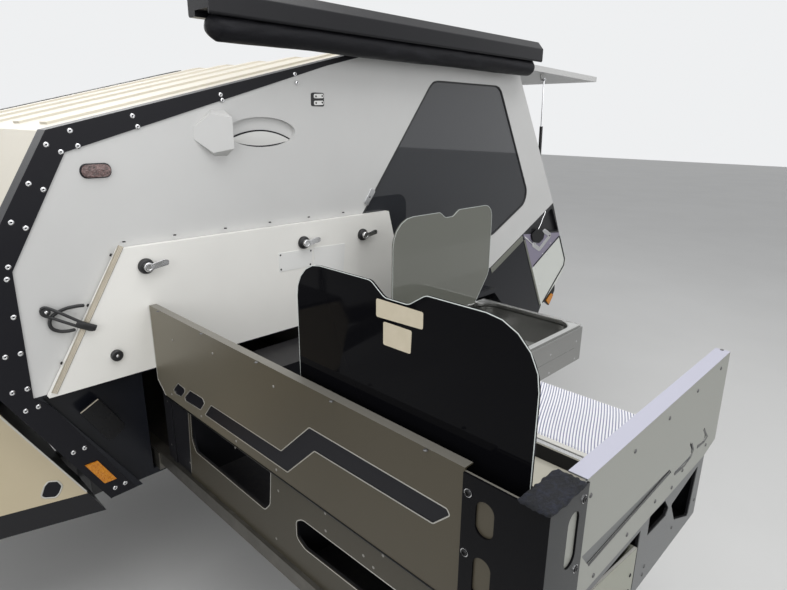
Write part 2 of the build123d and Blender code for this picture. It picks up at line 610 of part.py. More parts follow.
bore_radius = spindle_radius + HUB_GAP
rim_profile = [(-half_rim, RIM_RADIUS - 8), (-half_rim, RIM_RADIUS), (half_rim, RIM_RADIUS),
               (half_rim, RIM_RADIUS - 10), (60, RIM_RADIUS - 16), (44, 170), (22, 110), (22, 34), (-2, 34),
               (-2, 110), (10, 170), (-20, RIM_RADIUS - 16)]
rim = revolved(rim_profile, TRACK_HALF)
for index in range(STUD_COUNT):
    angle = 2 * pi * (index + 0.5) / STUD_COUNT
    window = Pos(-AXLE_STATION + 140 * cos(angle), TRACK_HALF, WHEEL_RADIUS + 140 * sin(angle))
    rim -= window * Rot(90, 0, 0) * Cylinder(27, 200)
    stud_angle = 2 * pi * index / STUD_COUNT
    stud = Pos(-AXLE_STATION + STUD_CIRCLE / 2 * cos(stud_angle), TRACK_HALF,
               WHEEL_RADIUS + STUD_CIRCLE / 2 * sin(stud_angle))
    rim -= stud * Rot(90, 0, 0) * Cylinder(STUD_RADIUS + HUB_GAP, 200)
keep_pair("rim", rim)

drum_profile = [(-150, bore_radius), (-150, 122), (-100, 130), (-42, 130), (-42, 92), (-2, 92), (-2, 33),
                (20, 33), (20, bore_radius)]
drum = revolved(drum_profile, TRACK_HALF)
for index in range(STUD_COUNT):
    angle = 2 * pi * index / STUD_COUNT
    offset = (STUD_CIRCLE / 2 * cos(angle), STUD_CIRCLE / 2 * sin(angle))
    start = (AXLE_STATION - offset[0], TRACK_HALF - 10, WHEEL_RADIUS + offset[1])
    drum += rod(start, (start[0], TRACK_HALF + 40, start[2]), STUD_RADIUS)
    drum += rod((start[0], TRACK_HALF + 22, start[2]), (start[0], TRACK_HALF + 36, start[2]),
                STUD_RADIUS + 4)
keep_pair("hub", drum)

# Mudguards: a sheet over each tyre with a lip at its outer edge
guard_line = arch_line(ARCH_RADIUS + GUARD_SHEET + 1)
guard = shell_band(guard_line, -GUARD_SHEET, 0, HALF_WIDTH, HALF_WIDTH + GUARD_WIDTH)
guard += shell_band(guard_line, -GUARD_LIP, 0, HALF_WIDTH + GUARD_WIDTH - GUARD_SHEET,
                    HALF_WIDTH + GUARD_WIDTH)
keep("mudguards", both(guard))

# Stabiliser legs at the rear corners
ear_gap = 3.0
leg = block(LEG_STATION - LEG_SIZE / 2, LEG_STATION + LEG_SIZE / 2, LEG_Y - LEG_SIZE / 2,
            LEG_Y + LEG_SIZE / 2,
            8, LEG_PIVOT + LEG_SIZE / 2)
leg += block(LEG_STATION - FOOT_SIZE / 2, LEG_STATION + FOOT_SIZE / 2, LEG_Y - FOOT_SIZE / 2,
             LEG_Y + FOOT_SIZE / 2, 0, 8)
leg -= rod((LEG_STATION, LEG_Y - 50, LEG_PIVOT), (LEG_STATION, LEG_Y + 50, LEG_PIVOT), 8.3)
keep_pair("stabiliser_leg", leg)
cross_face = REAR_CROSS_STATION - RAIL_WIDTH
ears = Part()
for low in (LEG_Y - LEG_SIZE / 2 - ear_gap - 6, LEG_Y + LEG_SIZE / 2 + ear_gap):
    ears += block(LEG_STATION - 22, cross_face, low, low + 6, LEG_PIVOT - 26, LEG_PIVOT + 26)
ears += rod((LEG_STATION, LEG_Y - LEG_SIZE / 2 - ear_gap, LEG_PIVOT),
            (LEG_STATION, LEG_Y + LEG_SIZE / 2 + ear_gap, LEG_PIVOT), 8)
chassis += both(ears)
keep("chassis_frame", chassis)

# Jockey wheel on the drawbar's right rail
rail_slope = (rail_out - APEX_Y) / (TOE_STATION - APEX_STATION)
rail_y = APEX_Y + (JOCKEY_STATION - APEX_STATION) * rail_slope
collar_half = 36.0
collar_inner = JOCKEY_Y + collar_half
bracket = flat_slab([(JOCKEY_STATION - 40, -rail_y + 40 * rail_slope),
                     (JOCKEY_STATION + 40, -rail_y - 40 * rail_slope),
                     (JOCKEY_STATION + 30, collar_inner + 0.3), (JOCKEY_STATION - 30, collar_inner + 0.3)],
                    JOCKEY_PIVOT - 30, JOCKEY_PIVOT + 30)
bracket += rod((JOCKEY_STATION, collar_inner + 0.3, JOCKEY_PIVOT),
               (JOCKEY_STATION, collar_inner - 8, JOCKEY_PIVOT), 10)
for side in (-1, 1):
    drawbar -= Pos(-CHAIN_STATION, side * CHAIN_Y, rail_top) * Cylinder(CHAIN_HOLE, 60)
keep("drawbar", drawbar + bracket)
tube_radius = 26.0
tube_low = 330.0
tube_high = 742.0
collar = block(JOCKEY_STATION - collar_half, JOCKEY_STATION + collar_half, JOCKEY_Y - collar_half,
               collar_inner,
               JOCKEY_PIVOT - 40, JOCKEY_PIVOT + 40)
jockey_tube = rod((JOCKEY_STATION, JOCKEY_Y, tube_low), (JOCKEY_STATION, JOCKEY_Y, tube_high),
                  tube_radius) + collar
jockey_tube -= rod((JOCKEY_STATION, JOCKEY_Y, tube_low), (JOCKEY_STATION, JOCKEY_Y, tube_low + 62),
                   tube_radius - 3)
jockey_tube -= rod((JOCKEY_STATION, collar_inner + 1, JOCKEY_PIVOT),
                   (JOCKEY_STATION, collar_inner - 9, JOCKEY_PIVOT), 10.3)
crank = rod((JOCKEY_STATION, JOCKEY_Y, tube_high), (JOCKEY_STATION, JOCKEY_Y, tube_high + 20), 9)
crank += block(JOCKEY_STATION - 9, JOCKEY_STATION + 9, JOCKEY_Y - 120, JOCKEY_Y + 9, tube_high + 20,
               tube_high + 28)
crank += rod((JOCKEY_STATION, JOCKEY_Y - 110, tube_high + 28),
             (JOCKEY_STATION, JOCKEY_Y - 110, tube_high + 100), 11)
keep("jockey_tube", jockey_tube + crank)
wheel_station = JOCKEY_STATION + JOCKEY_TRAIL
fork_gap = 6.0
fork_sheet = 6.0
fork_half = JOCKEY_WIDTH / 2 + fork_gap
fork_top = 2 * JOCKEY_WHEEL + 10
fork = rod((JOCKEY_STATION, JOCKEY_Y, fork_top), (JOCKEY_STATION, JOCKEY_Y, tube_low + 60),
           tube_radius - 3.3)
fork += block(JOCKEY_STATION - 40, wheel_station + 30, JOCKEY_Y - fork_half - fork_sheet,
              JOCKEY_Y + fork_half + fork_sheet, fork_top - 8, fork_top)
for side in (-1, 1):
    plate = [(JOCKEY_STATION - 40, fork_top), (wheel_station + 30, fork_top),
             (wheel_station + 26, JOCKEY_WHEEL - 24), (wheel_station - 26, JOCKEY_WHEEL - 24)]
    fork += side_slab(plate, JOCKEY_Y + side * fork_half, JOCKEY_Y + side * (fork_half + fork_sheet))
jockey_axle = rod((wheel_station, JOCKEY_Y - fork_half, JOCKEY_WHEEL),
                  (wheel_station, JOCKEY_Y + fork_half, JOCKEY_WHEEL), 10)
keep("jockey_fork", fork + jockey_axle)
jockey_wheel = rod((wheel_station, JOCKEY_Y - JOCKEY_WIDTH / 2, JOCKEY_WHEEL),
                   (wheel_station, JOCKEY_Y + JOCKEY_WIDTH / 2, JOCKEY_WHEEL), JOCKEY_WHEEL, 10.3)
jockey_wheel = fillet(jockey_wheel.edges().filter_by(GeomType.CIRCLE).group_by(SortBy.RADIUS)[-1], 18)
keep("jockey_wheel", jockey_wheel)

# Front box: tapered, open on top under its lid, over the drawbar
BOX_SIDE = [(BOX_REAR, BOX_BASE), (BOX_CREST, BOX_TOP), (BOX_BROW, BROW_HEIGHT), (BOX_FRONT, BOX_CHIN),
            (BOX_FRONT + 110, BOX_BASE)]
box_slope = (BOX_TOP - BROW_HEIGHT) / (BOX_CREST - BOX_BROW)
box_floor = rail_top


def box_plan(inset):
    """The front box's plan, narrowed at the front, as (station, y)."""
    wide = INNER_WIDTH - inset
    thin = BOX_NARROW - inset
    return [(BOX_REAR + 4 - inset, -wide), (BOX_REAR + 4 - inset, wide), (BOX_FRONT + inset, thin),
            (BOX_FRONT + inset, -thin)]


box = side_slab(BOX_SIDE, -INNER_WIDTH, INNER_WIDTH) & flat_slab(box_plan(0), 0, 1000)
mouth_rear = BOX_HINGE - BOX_FLANGE
box_hollow = [(BOX_REAR - 56, box_floor + BOX_SHEET), (BOX_CREST - 16, BOX_TOP - BOX_FLANGE),
              (mouth_rear, BOX_TOP - BOX_FLANGE), (mouth_rear, BOX_TOP + 30), (BOX_BROW, BOX_TOP + 30),
              (BOX_BROW + 8, BROW_HEIGHT - 3), (BOX_FRONT + 8, BOX_CHIN),
              (BOX_BROW + 8, box_floor + BOX_SHEET)]
box -= side_slab(box_hollow, -INNER_WIDTH, INNER_WIDTH) & flat_slab(box_plan(BOX_SHEET), 0, 1000)
box -= side_slab([(BOX_REAR + 14, BOX_BASE - 60), (BOX_REAR + 14, box_floor), (BOX_FRONT - 20, box_floor),
                  (BOX_FRONT - 20, BOX_BASE - 60)],
                 -BOX_NARROW + 40, BOX_NARROW - 40)
LID_GAP = SLIDE_FIT
axis_station = BOX_HINGE + HINGE_RADIUS + 2
lid_axis = (axis_station, BOX_TOP - (BOX_CREST - axis_station) * box_slope + HINGE_RADIUS + 2 * LID_GAP)
lid_line = [(BOX_HINGE, BOX_TOP - (BOX_CREST - BOX_HINGE) * box_slope), (BOX_BROW, BROW_HEIGHT),
            (BOX_FRONT, BOX_CHIN)]
knuckle_base = [(lid_axis[0] - 4, BOX_TOP - BOX_FLANGE / 2), (lid_axis[0] - 4, lid_axis[1]),
                (lid_axis[0] + 4, lid_axis[1]),
                (lid_axis[0] + 4, BOX_TOP - BOX_FLANGE / 2)]
LID_SHEET = 16.0
LID_SHORT = 30.0
lid_front = (BOX_FRONT + LID_SHORT,
             BOX_CHIN + LID_SHORT * (BROW_HEIGHT - BOX_CHIN) / (BOX_BROW - BOX_FRONT))
lid_chain = list(reversed([lid_line[0], lid_line[1], lid_front]))
box_lid = shell_band(lid_chain, LID_GAP, LID_GAP + LID_SHEET, -INNER_WIDTH, INNER_WIDTH)
box_lid = box_lid & flat_slab(box_plan(0), 0, 1200)
for middle in (-BOX_HINGE_Y, 0, BOX_HINGE_Y):
    half = BOX_KNUCKLE / 2
    box_lid += rod((lid_axis[0], middle - half, lid_axis[1]), (lid_axis[0], middle + half, lid_axis[1]),
                   HINGE_RADIUS)
    box_lid += block(BOX_HINGE - 2, lid_axis[0], middle - half, middle + half,
                     lid_axis[1] - HINGE_RADIUS + 1,
                     lid_axis[1] + HINGE_RADIUS)
    for side in (-1, 1):
        near = middle + side * (half + SLIDE_FIT)
        far = near + side * half
        box += rod((lid_axis[0], near, lid_axis[1]), (lid_axis[0], far, lid_axis[1]), HINGE_RADIUS)
        box += side_slab(knuckle_base, near, far)
keep("front_box", box)
keep("front_box_lid", box_lid)

# Awning: a long case along the roof's left edge on brackets, with its bag hanging under its outer lip
case_base = ROOF_HEIGHT + 22
case_inner = HALF_WIDTH + 8
case_outer = case_inner + CASE_DEPTH
case_profile = [(case_inner, case_base), (case_inner, case_base + CASE_HEIGHT),
                (case_outer - 30, case_base + CASE_HEIGHT), (case_outer, case_base + CASE_HEIGHT - 34),
                (case_outer, case_base)]
case = cross_slab(case_profile, CASE_FRONT, CASE_REAR, radius=9)
case -= cross_slab([(case_inner + 38, case_base - 1), (case_inner + 38, case_base + BAG_RECESS),
                    (case_outer - 6, case_base + BAG_RECESS), (case_outer - 6, case_base - 1)],
                   CASE_FRONT - 1, CASE_REAR + 1)
carrier = Part()
for station in (3150.0, 3960.0):
    carrier += block(station, station + 60, case_inner - 90, case_inner + 30, case_base - 6, case_base)
    carrier += block(station, station + 60, case_inner - 90, case_inner - 60, ROOF_HEIGHT, case_base)
keep("awning_case", case + carrier)
bag_y = case_outer - BAG_RADIUS - 6
bag_height = case_base + BAG_RECESS - SLIDE_FIT - BAG_RADIUS
bag = rod((CASE_FRONT + 10, bag_y, bag_height), (CASE_REAR - 20, bag_y, bag_height), BAG_RADIUS)
keep("awning_bag", bag)

# Kitchen: a folded tray with a bench on top, drawn out of its bay on two runners
sink_bay = (SINK_Y - SINK_WIDTH / 2 - SINK_CLEAR, SINK_Y + SINK_WIDTH / 2 + SINK_CLEAR)
bench_under = BENCH_HEIGHT - KITCHEN_WALL
tray_floor = KITCHEN_BASE + KITCHEN_WALL
tray = [(KITCHEN_INNER, KITCHEN_BASE), (BOW_Y, KITCHEN_BASE), (KITCHEN_OUTER, BOW_HEIGHT),
        (KITCHEN_OUTER, BENCH_HEIGHT), (KITCHEN_INNER, BENCH_HEIGHT)]
hollow = [(KITCHEN_INNER + KITCHEN_WALL, tray_floor), (BOW_Y, tray_floor),
          (KITCHEN_OUTER - KITCHEN_WALL, BOW_HEIGHT + KITCHEN_WALL),
          (KITCHEN_OUTER - KITCHEN_WALL, bench_under), (KITCHEN_INNER + KITCHEN_WALL, bench_under)]
frame = cross_slab(tray, KITCHEN_FRONT, KITCHEN_REAR)
frame -= cross_slab(hollow, KITCHEN_FRONT + KITCHEN_WALL, KITCHEN_REAR - KITCHEN_WALL)
SINK_BAY_FRONT = KITCHEN_REAR - SINK_TRAVEL - 22
SINK_BAY_DROP = SINK_DEPTH + 40
frame -= block(SINK_BAY_FRONT, KITCHEN_REAR + 1, sink_bay[0], sink_bay[1],
               BENCH_HEIGHT - SINK_BAY_DROP, BENCH_HEIGHT + 1)
for edge in (sink_bay[0] - KITCHEN_WALL, sink_bay[1]):
    frame += block(KITCHEN_FRONT + KITCHEN_WALL, KITCHEN_REAR, edge, edge + KITCHEN_WALL,
                   tray_floor, bench_under)
STOVE_FRONT = KITCHEN_FRONT + 62
stove_rear = STOVE_FRONT + STOVE_LENGTH
stove_hole = (STOVE_Y - STOVE_WIDTH / 2, STOVE_Y + STOVE_WIDTH / 2)
frame -= block(STOVE_FRONT, stove_rear, stove_hole[0], stove_hole[1], bench_under - 1, BENCH_HEIGHT + 1)

# Drawer opening with a finger gap above the sloping edge of the drawer's front
DRAWER_FRONT = 2262.0
DRAWER_REAR = 2548.0
DRAWER_LOW = 668.0
DRAWER_HIGH = 783.0
DRAWER_CREST = 819.0
DRAWER_CLEAR = 5.0
drawer_hole = [(DRAWER_FRONT - DRAWER_CLEAR, DRAWER_LOW - DRAWER_CLEAR),
               (DRAWER_FRONT - DRAWER_CLEAR, DRAWER_CREST + DRAWER_CLEAR),
               (DRAWER_REAR + DRAWER_CLEAR, DRAWER_CREST + DRAWER_CLEAR),
               (DRAWER_REAR + DRAWER_CLEAR, DRAWER_LOW - DRAWER_CLEAR)]
drawer_inner = stove_hole[0] + 60
for station in (DRAWER_FRONT + 30, DRAWER_REAR - 50):
    frame += block(station, station + 20, drawer_inner, BOW_Y, tray_floor, DRAWER_LOW - SLIDE_FIT)

# Windows in the front wall, as (y, height), and in the end wall, as (station, height)
FRONT_WINDOWS = (((1024, 845), (1016, 740), (1034, 702), (1398, 696), (1424, 725), (1436, 845)),
                 ((1558, 755), (1533, 738), (1533, 690), (1562, 675), (2030, 690), (2052, 712),
                  (2052, 748), (2034, 762)))
END_WINDOWS = (((2601, 782), (2599, 833), (2690, 827), (2726, 787), (2714, 773)),
               ((2742, 787), (2786, 722), (2905, 668), (2919, 812)))
front_plate = cross_slab([(PLATE_INNER - 20, KITCHEN_BASE), (BOW_Y, KITCHEN_BASE),
                          (PLATE_OUTER, BOW_HEIGHT),
                          (PLATE_OUTER, BENCH_HEIGHT - 2), (PLATE_INNER, BENCH_HEIGHT - 2)],
                         KITCHEN_FRONT - SHIELD_GAP + SLIDE_FIT, KITCHEN_FRONT)
end_plate = side_slab([(KITCHEN_FRONT + 8, BOW_HEIGHT), (KITCHEN_FRONT + 8, BENCH_HEIGHT - 2),
                       (KITCHEN_REAR, BENCH_HEIGHT - 2), (KITCHEN_REAR, BOW_HEIGHT)],
                      KITCHEN_OUTER, KITCHEN_OUTER + PANEL_THICK)
for window in FRONT_WINDOWS:
    hole = cross_slab(window, KITCHEN_FRONT - SHIELD_GAP - 1, KITCHEN_FRONT + KITCHEN_WALL + 1, radius=10)
    frame -= hole
    front_plate -= hole
for window, radius in ((END_WINDOWS[0], 5), (END_WINDOWS[1], 5), (drawer_hole, 2)):
    hole = side_slab(window, KITCHEN_OUTER - KITCHEN_WALL - 1, KITCHEN_OUTER + PANEL_THICK + 1,
                     radius=radius)
    frame -= hole
    end_plate -= hole
keep("kitchen_panels", front_plate + end_plate)
GUIDE_WIDTH = 22.0
frame += block(KITCHEN_FRONT - SHIELD_GAP + SLIDE_FIT, KITCHEN_FRONT, KITCHEN_INNER + 36,
               KITCHEN_INNER + 36 + GUIDE_WIDTH, KITCHEN_BASE, BENCH_HEIGHT - 2)

# Runners: channels fixed in the bay and bars under the kitchen that slide in them
RUNNER_HALF = 15.0
RUNNER_DROP = 44.0
CHANNEL_WALL = 6.0
RUNNER_STATIONS = (KITCHEN_FRONT, 2915.0)
RUNNER_INNER = 250.0
channel = Part()
runner = Part()
for station in RUNNER_STATIONS:
    outer = block(station - RUNNER_HALF - CHANNEL_WALL, station + RUNNER_HALF + CHANNEL_WALL,
                  BAY_END, HALF_WIDTH - 6, floor_top, KITCHEN_BASE - 2)
    channel += outer - block(station - RUNNER_HALF - SLIDE_FIT, station + RUNNER_HALF + SLIDE_FIT,
                             BAY_END - 1, HALF_WIDTH, KITCHEN_BASE - RUNNER_DROP - SLIDE_FIT, KITCHEN_BASE)
    runner += block(station - RUNNER_HALF, station + RUNNER_HALF, RUNNER_INNER, BOW_Y,
                    KITCHEN_BASE - RUNNER_DROP, KITCHEN_BASE)
keep("bay_channels", channel)
keep("kitchen_runners", runner)

# Wind shields: front and end plates with a folded flange, joined by the slotted corner post
shield_face = KITCHEN_FRONT - SHIELD_GAP - SHIELD_THICK
shield_low = SHIELD_TOP - SHIELD_DEPTH
shield_inner = KITCHEN_INNER - 6
corner_top = SHIELD_TOP - CORNER_DROP
end_face = KITCHEN_OUTER + 7
post_inner = end_face - POST_WIDTH
front_outline = [(shield_inner + 46, shield_low), (shield_inner, shield_low + 40),
                 (shield_inner, SHIELD_TOP),
                 (post_inner, SHIELD_TOP), (post_inner, corner_top), (end_face, corner_top),
                 (end_face, shield_low)]
front_shield = cross_slab(front_outline, shield_face, shield_face + SHIELD_THICK)
front_shield += block(shield_face, shield_face + SHIELD_FLANGE, shield_inner, post_inner,
                      SHIELD_TOP - FLANGE_THICK, SHIELD_TOP)
# Cut-outs of the front shield, as (y, height)
FRONT_CUTS = (((972, 906), (1012, 903), (1012, 891), (984, 867), (950, 864), (936, 873)),
              ((1046, 909), (1120, 911), (1129, 899), (1101, 868), (1010, 863), (1008, 874)),
              ((1125, 862), (1514, 864), (1620, 967), (1956, 971), (1993, 1008), (1986, 1018), (1604, 1018),
               (1492, 911), (1166, 907)))
for cut in FRONT_CUTS:
    front_shield -= cross_slab(cut, shield_face - 1, shield_face + SHIELD_THICK + 1, radius=3)
keep("front_shield", front_shield)
END_FRONT = shield_face + SHIELD_THICK
END_REAR = 2985.0
END_LOW = 861.0
post_rear = shield_face + POST_DEPTH
end_outline = [(END_FRONT, END_LOW), (END_FRONT, corner_top), (post_rear, corner_top),
               (post_rear, corner_top + FLANGE_THICK), (END_REAR, corner_top + FLANGE_THICK),
               (END_REAR + 13, END_LOW), (END_REAR - 67, END_LOW - 14), (post_rear + 63, END_LOW)]
end_shield = side_slab(end_outline, end_face, end_face + SHIELD_THICK)
end_shield += block(post_rear, END_REAR, end_face + SHIELD_THICK - END_FLANGE, end_face + SHIELD_THICK,
                    corner_top, corner_top + FLANGE_THICK)
# Pressed wedge, the slit along its lower edge and the hooked slits behind it
wedge = [(2243, 954), (2648, 932), (2665, 917), (2277, 914)]
slit = [(2277, 914), (2665, 917), (2658, 925), (2271, 922)]
end_shield -= side_slab(wedge, end_face + SHIELD_THICK / 2, end_face + SHIELD_THICK + 1)
end_shield -= side_slab(slit, end_face - 1, end_face + SHIELD_THICK + 1)
for front, reach in ((2688.0, 100.0), (2838.0, 46.0)):
    bend = front + reach
    hook = [(front, 899), (bend, 895), (bend + 15, 905), (bend + 12, 922), (bend - 10, 944),
            (bend - 16, 940), (bend + 4, 919), (bend + 6, 907), (bend - 1, 903), (front, 907)]
    end_shield -= side_slab(hook, end_face - 1, end_face + SHIELD_THICK + 1)
keep("end_shield", end_shield)
post_outer = end_face + 2 * SHIELD_THICK
post = block(shield_face - SHIELD_THICK, shield_face, post_inner, post_outer, shield_low, corner_top)
post += block(shield_face - SHIELD_THICK, post_rear, end_face + SHIELD_THICK, post_outer, shield_low,
              corner_top)
SLOT_WIDTH = 36.0
for low, high in ((880, 965), (1006, 1073)):
    slot = extrude(SlotOverall(high - low, SLOT_WIDTH), amount=20, both=True)
    post -= Pos(-shield_face, end_face - 104, (low + high) / 2) * Rot(0, 90, 0) * slot
side_slot = Rot(90, 0, 0) * Rot(0, 0, 90) * extrude(SlotOverall(105, SLOT_WIDTH), amount=20, both=True)
post -= Pos(-(shield_face + 74), post_outer, 1022) * side_slot
keep("corner_post", post)

# Stove sunk in the bench, with its glass lid standing at the front
hob_floor = BENCH_HEIGHT - HOB_DEPTH
HOB_RIM = 15.0
stove_plan = (STOVE_FRONT + SLIDE_FIT, stove_rear - SLIDE_FIT, stove_hole[0] + SLIDE_FIT,
              stove_hole[1] - SLIDE_FIT)
stove = block(*stove_plan, BENCH_HEIGHT - STOVE_DEPTH, BENCH_HEIGHT)
stove -= block(STOVE_FRONT + HOB_RIM, stove_rear - HOB_RIM, stove_hole[0] + HOB_RIM,
               stove_hole[1] - HOB_RIM,
               hob_floor, BENCH_HEIGHT + 1)
# Burners, as (station, y, radius), each under a ring with four arms on legs
BURNERS = ((2300.0, 1655.0, 46.0), (2510.0, 1655.0, 34.0), (2400.0, 1930.0, 52.0))
RING_RADIUS = 92.0
ARM_HEIGHT = 22.0
for station, y, radius in BURNERS:
    burner = Pos(0, 0, 7) * Cylinder(radius, 14)
    burner += Pos(0, 0, ARM_HEIGHT - 2) * (Cylinder(RING_RADIUS, 8) - Cylinder(RING_RADIUS - 6, 9))
    for turn in range(4):
        arm = Pos(RING_RADIUS - 30, 0, ARM_HEIGHT + 2) * Box(60, 6, 6)
        arm += Pos(RING_RADIUS - 3, 0, ARM_HEIGHT / 2) * Box(6, 6, ARM_HEIGHT + 8)
        burner += Rot(0, 0, 45 + 90 * turn) * arm
    stove += Pos(-station, y, hob_floor) * burner
keep("stove", stove)


def rounded_sheet(outline, corners):
    """A flat outline with chosen corners rounded; corners lists (across, height, radius)."""
    sheet = Polygon(*outline, align=None)
    for across, height, radius in corners:
        sheet = fillet(sheet.vertices().sort_by_distance((across, height, 0))[0], radius)
    return sheet


lid_station = shield_face + SHIELD_FLANGE + LID_SETBACK
lid_low = BENCH_HEIGHT + 14
notch_low = STOVE_LID_TOP - 26
lid_sides = (STOVE_Y - STOVE_LID_HALF, STOVE_Y + STOVE_LID_HALF)
stove_notch = [(STOVE_Y - 67, STOVE_LID_TOP), (STOVE_Y - 30, notch_low), (STOVE_Y + 30, notch_low),
               (STOVE_Y + 70, STOVE_LID_TOP)]
lid_sheet = rounded_sheet([(lid_sides[0], lid_low), (lid_sides[0], STOVE_LID_TOP)] + stove_notch
                          + [(lid_sides[1], STOVE_LID_TOP), (lid_sides[1], lid_low)],
                          [(lid_sides[0], STOVE_LID_TOP, 80), (lid_sides[1], STOVE_LID_TOP, 110)]
                          + [(y, height, 24) for y, height in stove_notch])
lid_plane = Plane(origin=(-(lid_station + LID_THICK), 0, 0), x_dir=(0, 1, 0), z_dir=(1, 0, 0))
stove_lid = extrude(lid_plane * lid_sheet, amount=LID_THICK, dir=(1, 0, 0))
LID_AXIS = BENCH_HEIGHT + 9
KNUCKLE_HALF = 20.0
KNUCKLE_REACH = 36.0
lid_middle = lid_station + LID_THICK / 2
for y in (STOVE_Y - 200, STOVE_Y + 200):
    stove_lid += rod((lid_middle, y - KNUCKLE_HALF, LID_AXIS), (lid_middle, y + KNUCKLE_HALF, LID_AXIS),
                     HINGE_RADIUS)
    stove_lid += block(lid_station + 1, lid_station + LID_THICK - 1, y - KNUCKLE_HALF, y + KNUCKLE_HALF,
                       LID_AXIS, LID_AXIS + 8)
    for side in (-1, 1):
        near, far = y + side * (KNUCKLE_HALF + SLIDE_FIT), y + side * KNUCKLE_REACH
        frame += rod((lid_middle, near, LID_AXIS), (lid_middle, far, LID_AXIS), HINGE_RADIUS)
        frame += block(lid_station - 2, lid_station + LID_THICK + 2, near, far, BENCH_HEIGHT, LID_AXIS)
keep("stove_lid", stove_lid)
keep("kitchen_frame", frame)

# Soft pad on the shields' corner and the ribbed mat beside the stove
pad_front = shield_face - 16
keep("post_pad", block(pad_front, pad_front + PAD_LENGTH, lid_sides[1] + 10, post_outer + 7,
                       corner_top, corner_top + PAD_THICK))
MAT_RIB = 8.0
MAT_SIDES = (1560.0, 2010.0)
mat_stations = (stove_rear + 20, KITCHEN_REAR - 4)
mat = block(*mat_stations, *MAT_SIDES, BENCH_HEIGHT, BENCH_HEIGHT + 3)
for index in range(int((MAT_SIDES[1] - MAT_SIDES[0]) / (2 * MAT_RIB))):
    y = MAT_SIDES[0] + 2 * MAT_RIB * index + MAT_RIB / 2
    mat += block(*mat_stations, y, y + MAT_RIB, BENCH_HEIGHT + 3, BENCH_HEIGHT + 6)
keep("bench_mat", mat)

# Sink: a box with a pressed bowl on two runners, with a low tap and a standing glass lid
sink_front = KITCHEN_REAR + 12
sink_rear = sink_front + SINK_LENGTH
sink_low = BENCH_HEIGHT - SINK_DEPTH
sink_sides = (SINK_Y - SINK_WIDTH / 2, SINK_Y + SINK_WIDTH / 2)


def sink_inset(front, rest):
    """The sink's plan outline moved inwards, by one amount at the front and another at the rest."""
    return [(sink_front + front, sink_sides[0] + rest), (sink_front + front, sink_sides[1] - rest),
            (sink_rear - rest, sink_sides[1] - rest), (sink_rear - rest, sink_sides[0] + rest)]


TRAY_DEPTH = 16.0
sink = block(sink_front, sink_rear, sink_sides[0], sink_sides[1], sink_low, BENCH_HEIGHT)
sink_tray = flat_slab(sink_inset(10, 10), BENCH_HEIGHT - TRAY_DEPTH, BENCH_HEIGHT, radius=26)
bowl = flat_slab(sink_inset(118, 26), sink_low + 4, BENCH_HEIGHT, radius=60)
bowl = fillet(bowl.faces().sort_by(Axis.Z)[0].edges(), 30)
sink = sink - sink_tray - bowl
SINK_RAIL = SINK_CLEAR - SLIDE_FIT
for low in (sink_sides[0] - SINK_RAIL, sink_sides[1]):
    sink += block(KITCHEN_REAR - 190, sink_rear - 60, low, low + SINK_RAIL, sink_low + 30, sink_low + 66)
TAP_STATION = sink_front + 60
sink += rod((TAP_STATION, SINK_Y, BENCH_HEIGHT - TRAY_DEPTH), (TAP_STATION, SINK_Y, BENCH_HEIGHT - 6), 16)
sink += rod((TAP_STATION, SINK_Y, BENCH_HEIGHT - 8), (TAP_STATION + 130, SINK_Y, BENCH_HEIGHT - 8), 6)
SINK_LID_Y = sink_sides[0] + 24
cover_front = sink_front - 47
cover_rear = sink_rear - 12
cover_notch = [(cover_front + 262, SINK_LID_TOP), (cover_front + 296, SINK_LID_TOP - 24),
               (cover_front + 344, SINK_LID_TOP - 24), (cover_front + 382, SINK_LID_TOP)]
cover_corners = [(cover_front, SINK_LID_TOP), (cover_rear, SINK_LID_TOP), (cover_rear, lid_low + 120),
                 (cover_rear - 90, lid_low)]
cover = [(cover_front, lid_low), cover_corners[0]] + cover_notch + cover_corners[1:]
sheet = rounded_sheet([(-station, height) for station, height in cover],
                      [(-station, height, radius) for (station, height), radius
                       in zip(cover_corners + cover_notch, (105, 55, 60, 60, 24, 24, 24, 24))])
sink_plane = Plane(origin=(0, SINK_LID_Y + LID_THICK / 2, 0), x_dir=(1, 0, 0), z_dir=(0, -1, 0))
sink_lid = extrude(sink_plane * sheet, amount=LID_THICK, dir=(0, -1, 0))
for station in (sink_front + 120, sink_rear - 120):
    sink_lid += rod((station - KNUCKLE_HALF, SINK_LID_Y, LID_AXIS),
                    (station + KNUCKLE_HALF, SINK_LID_Y, LID_AXIS),
                    HINGE_RADIUS)
    sink_lid += block(station - KNUCKLE_HALF, station + KNUCKLE_HALF, SINK_LID_Y - 2, SINK_LID_Y + 2,
                      LID_AXIS, LID_AXIS + 8)
    for side in (-1, 1):
        near, far = station + side * (KNUCKLE_HALF + SLIDE_FIT), station + side * KNUCKLE_REACH
        sink += rod((near, SINK_LID_Y, LID_AXIS), (far, SINK_LID_Y, LID_AXIS), HINGE_RADIUS)
        sink += block(near, far, SINK_LID_Y - 4, SINK_LID_Y + 4, BENCH_HEIGHT - TRAY_DEPTH - 2, LID_AXIS)
keep("sink_lid", sink_lid)
keep("sink", sink)

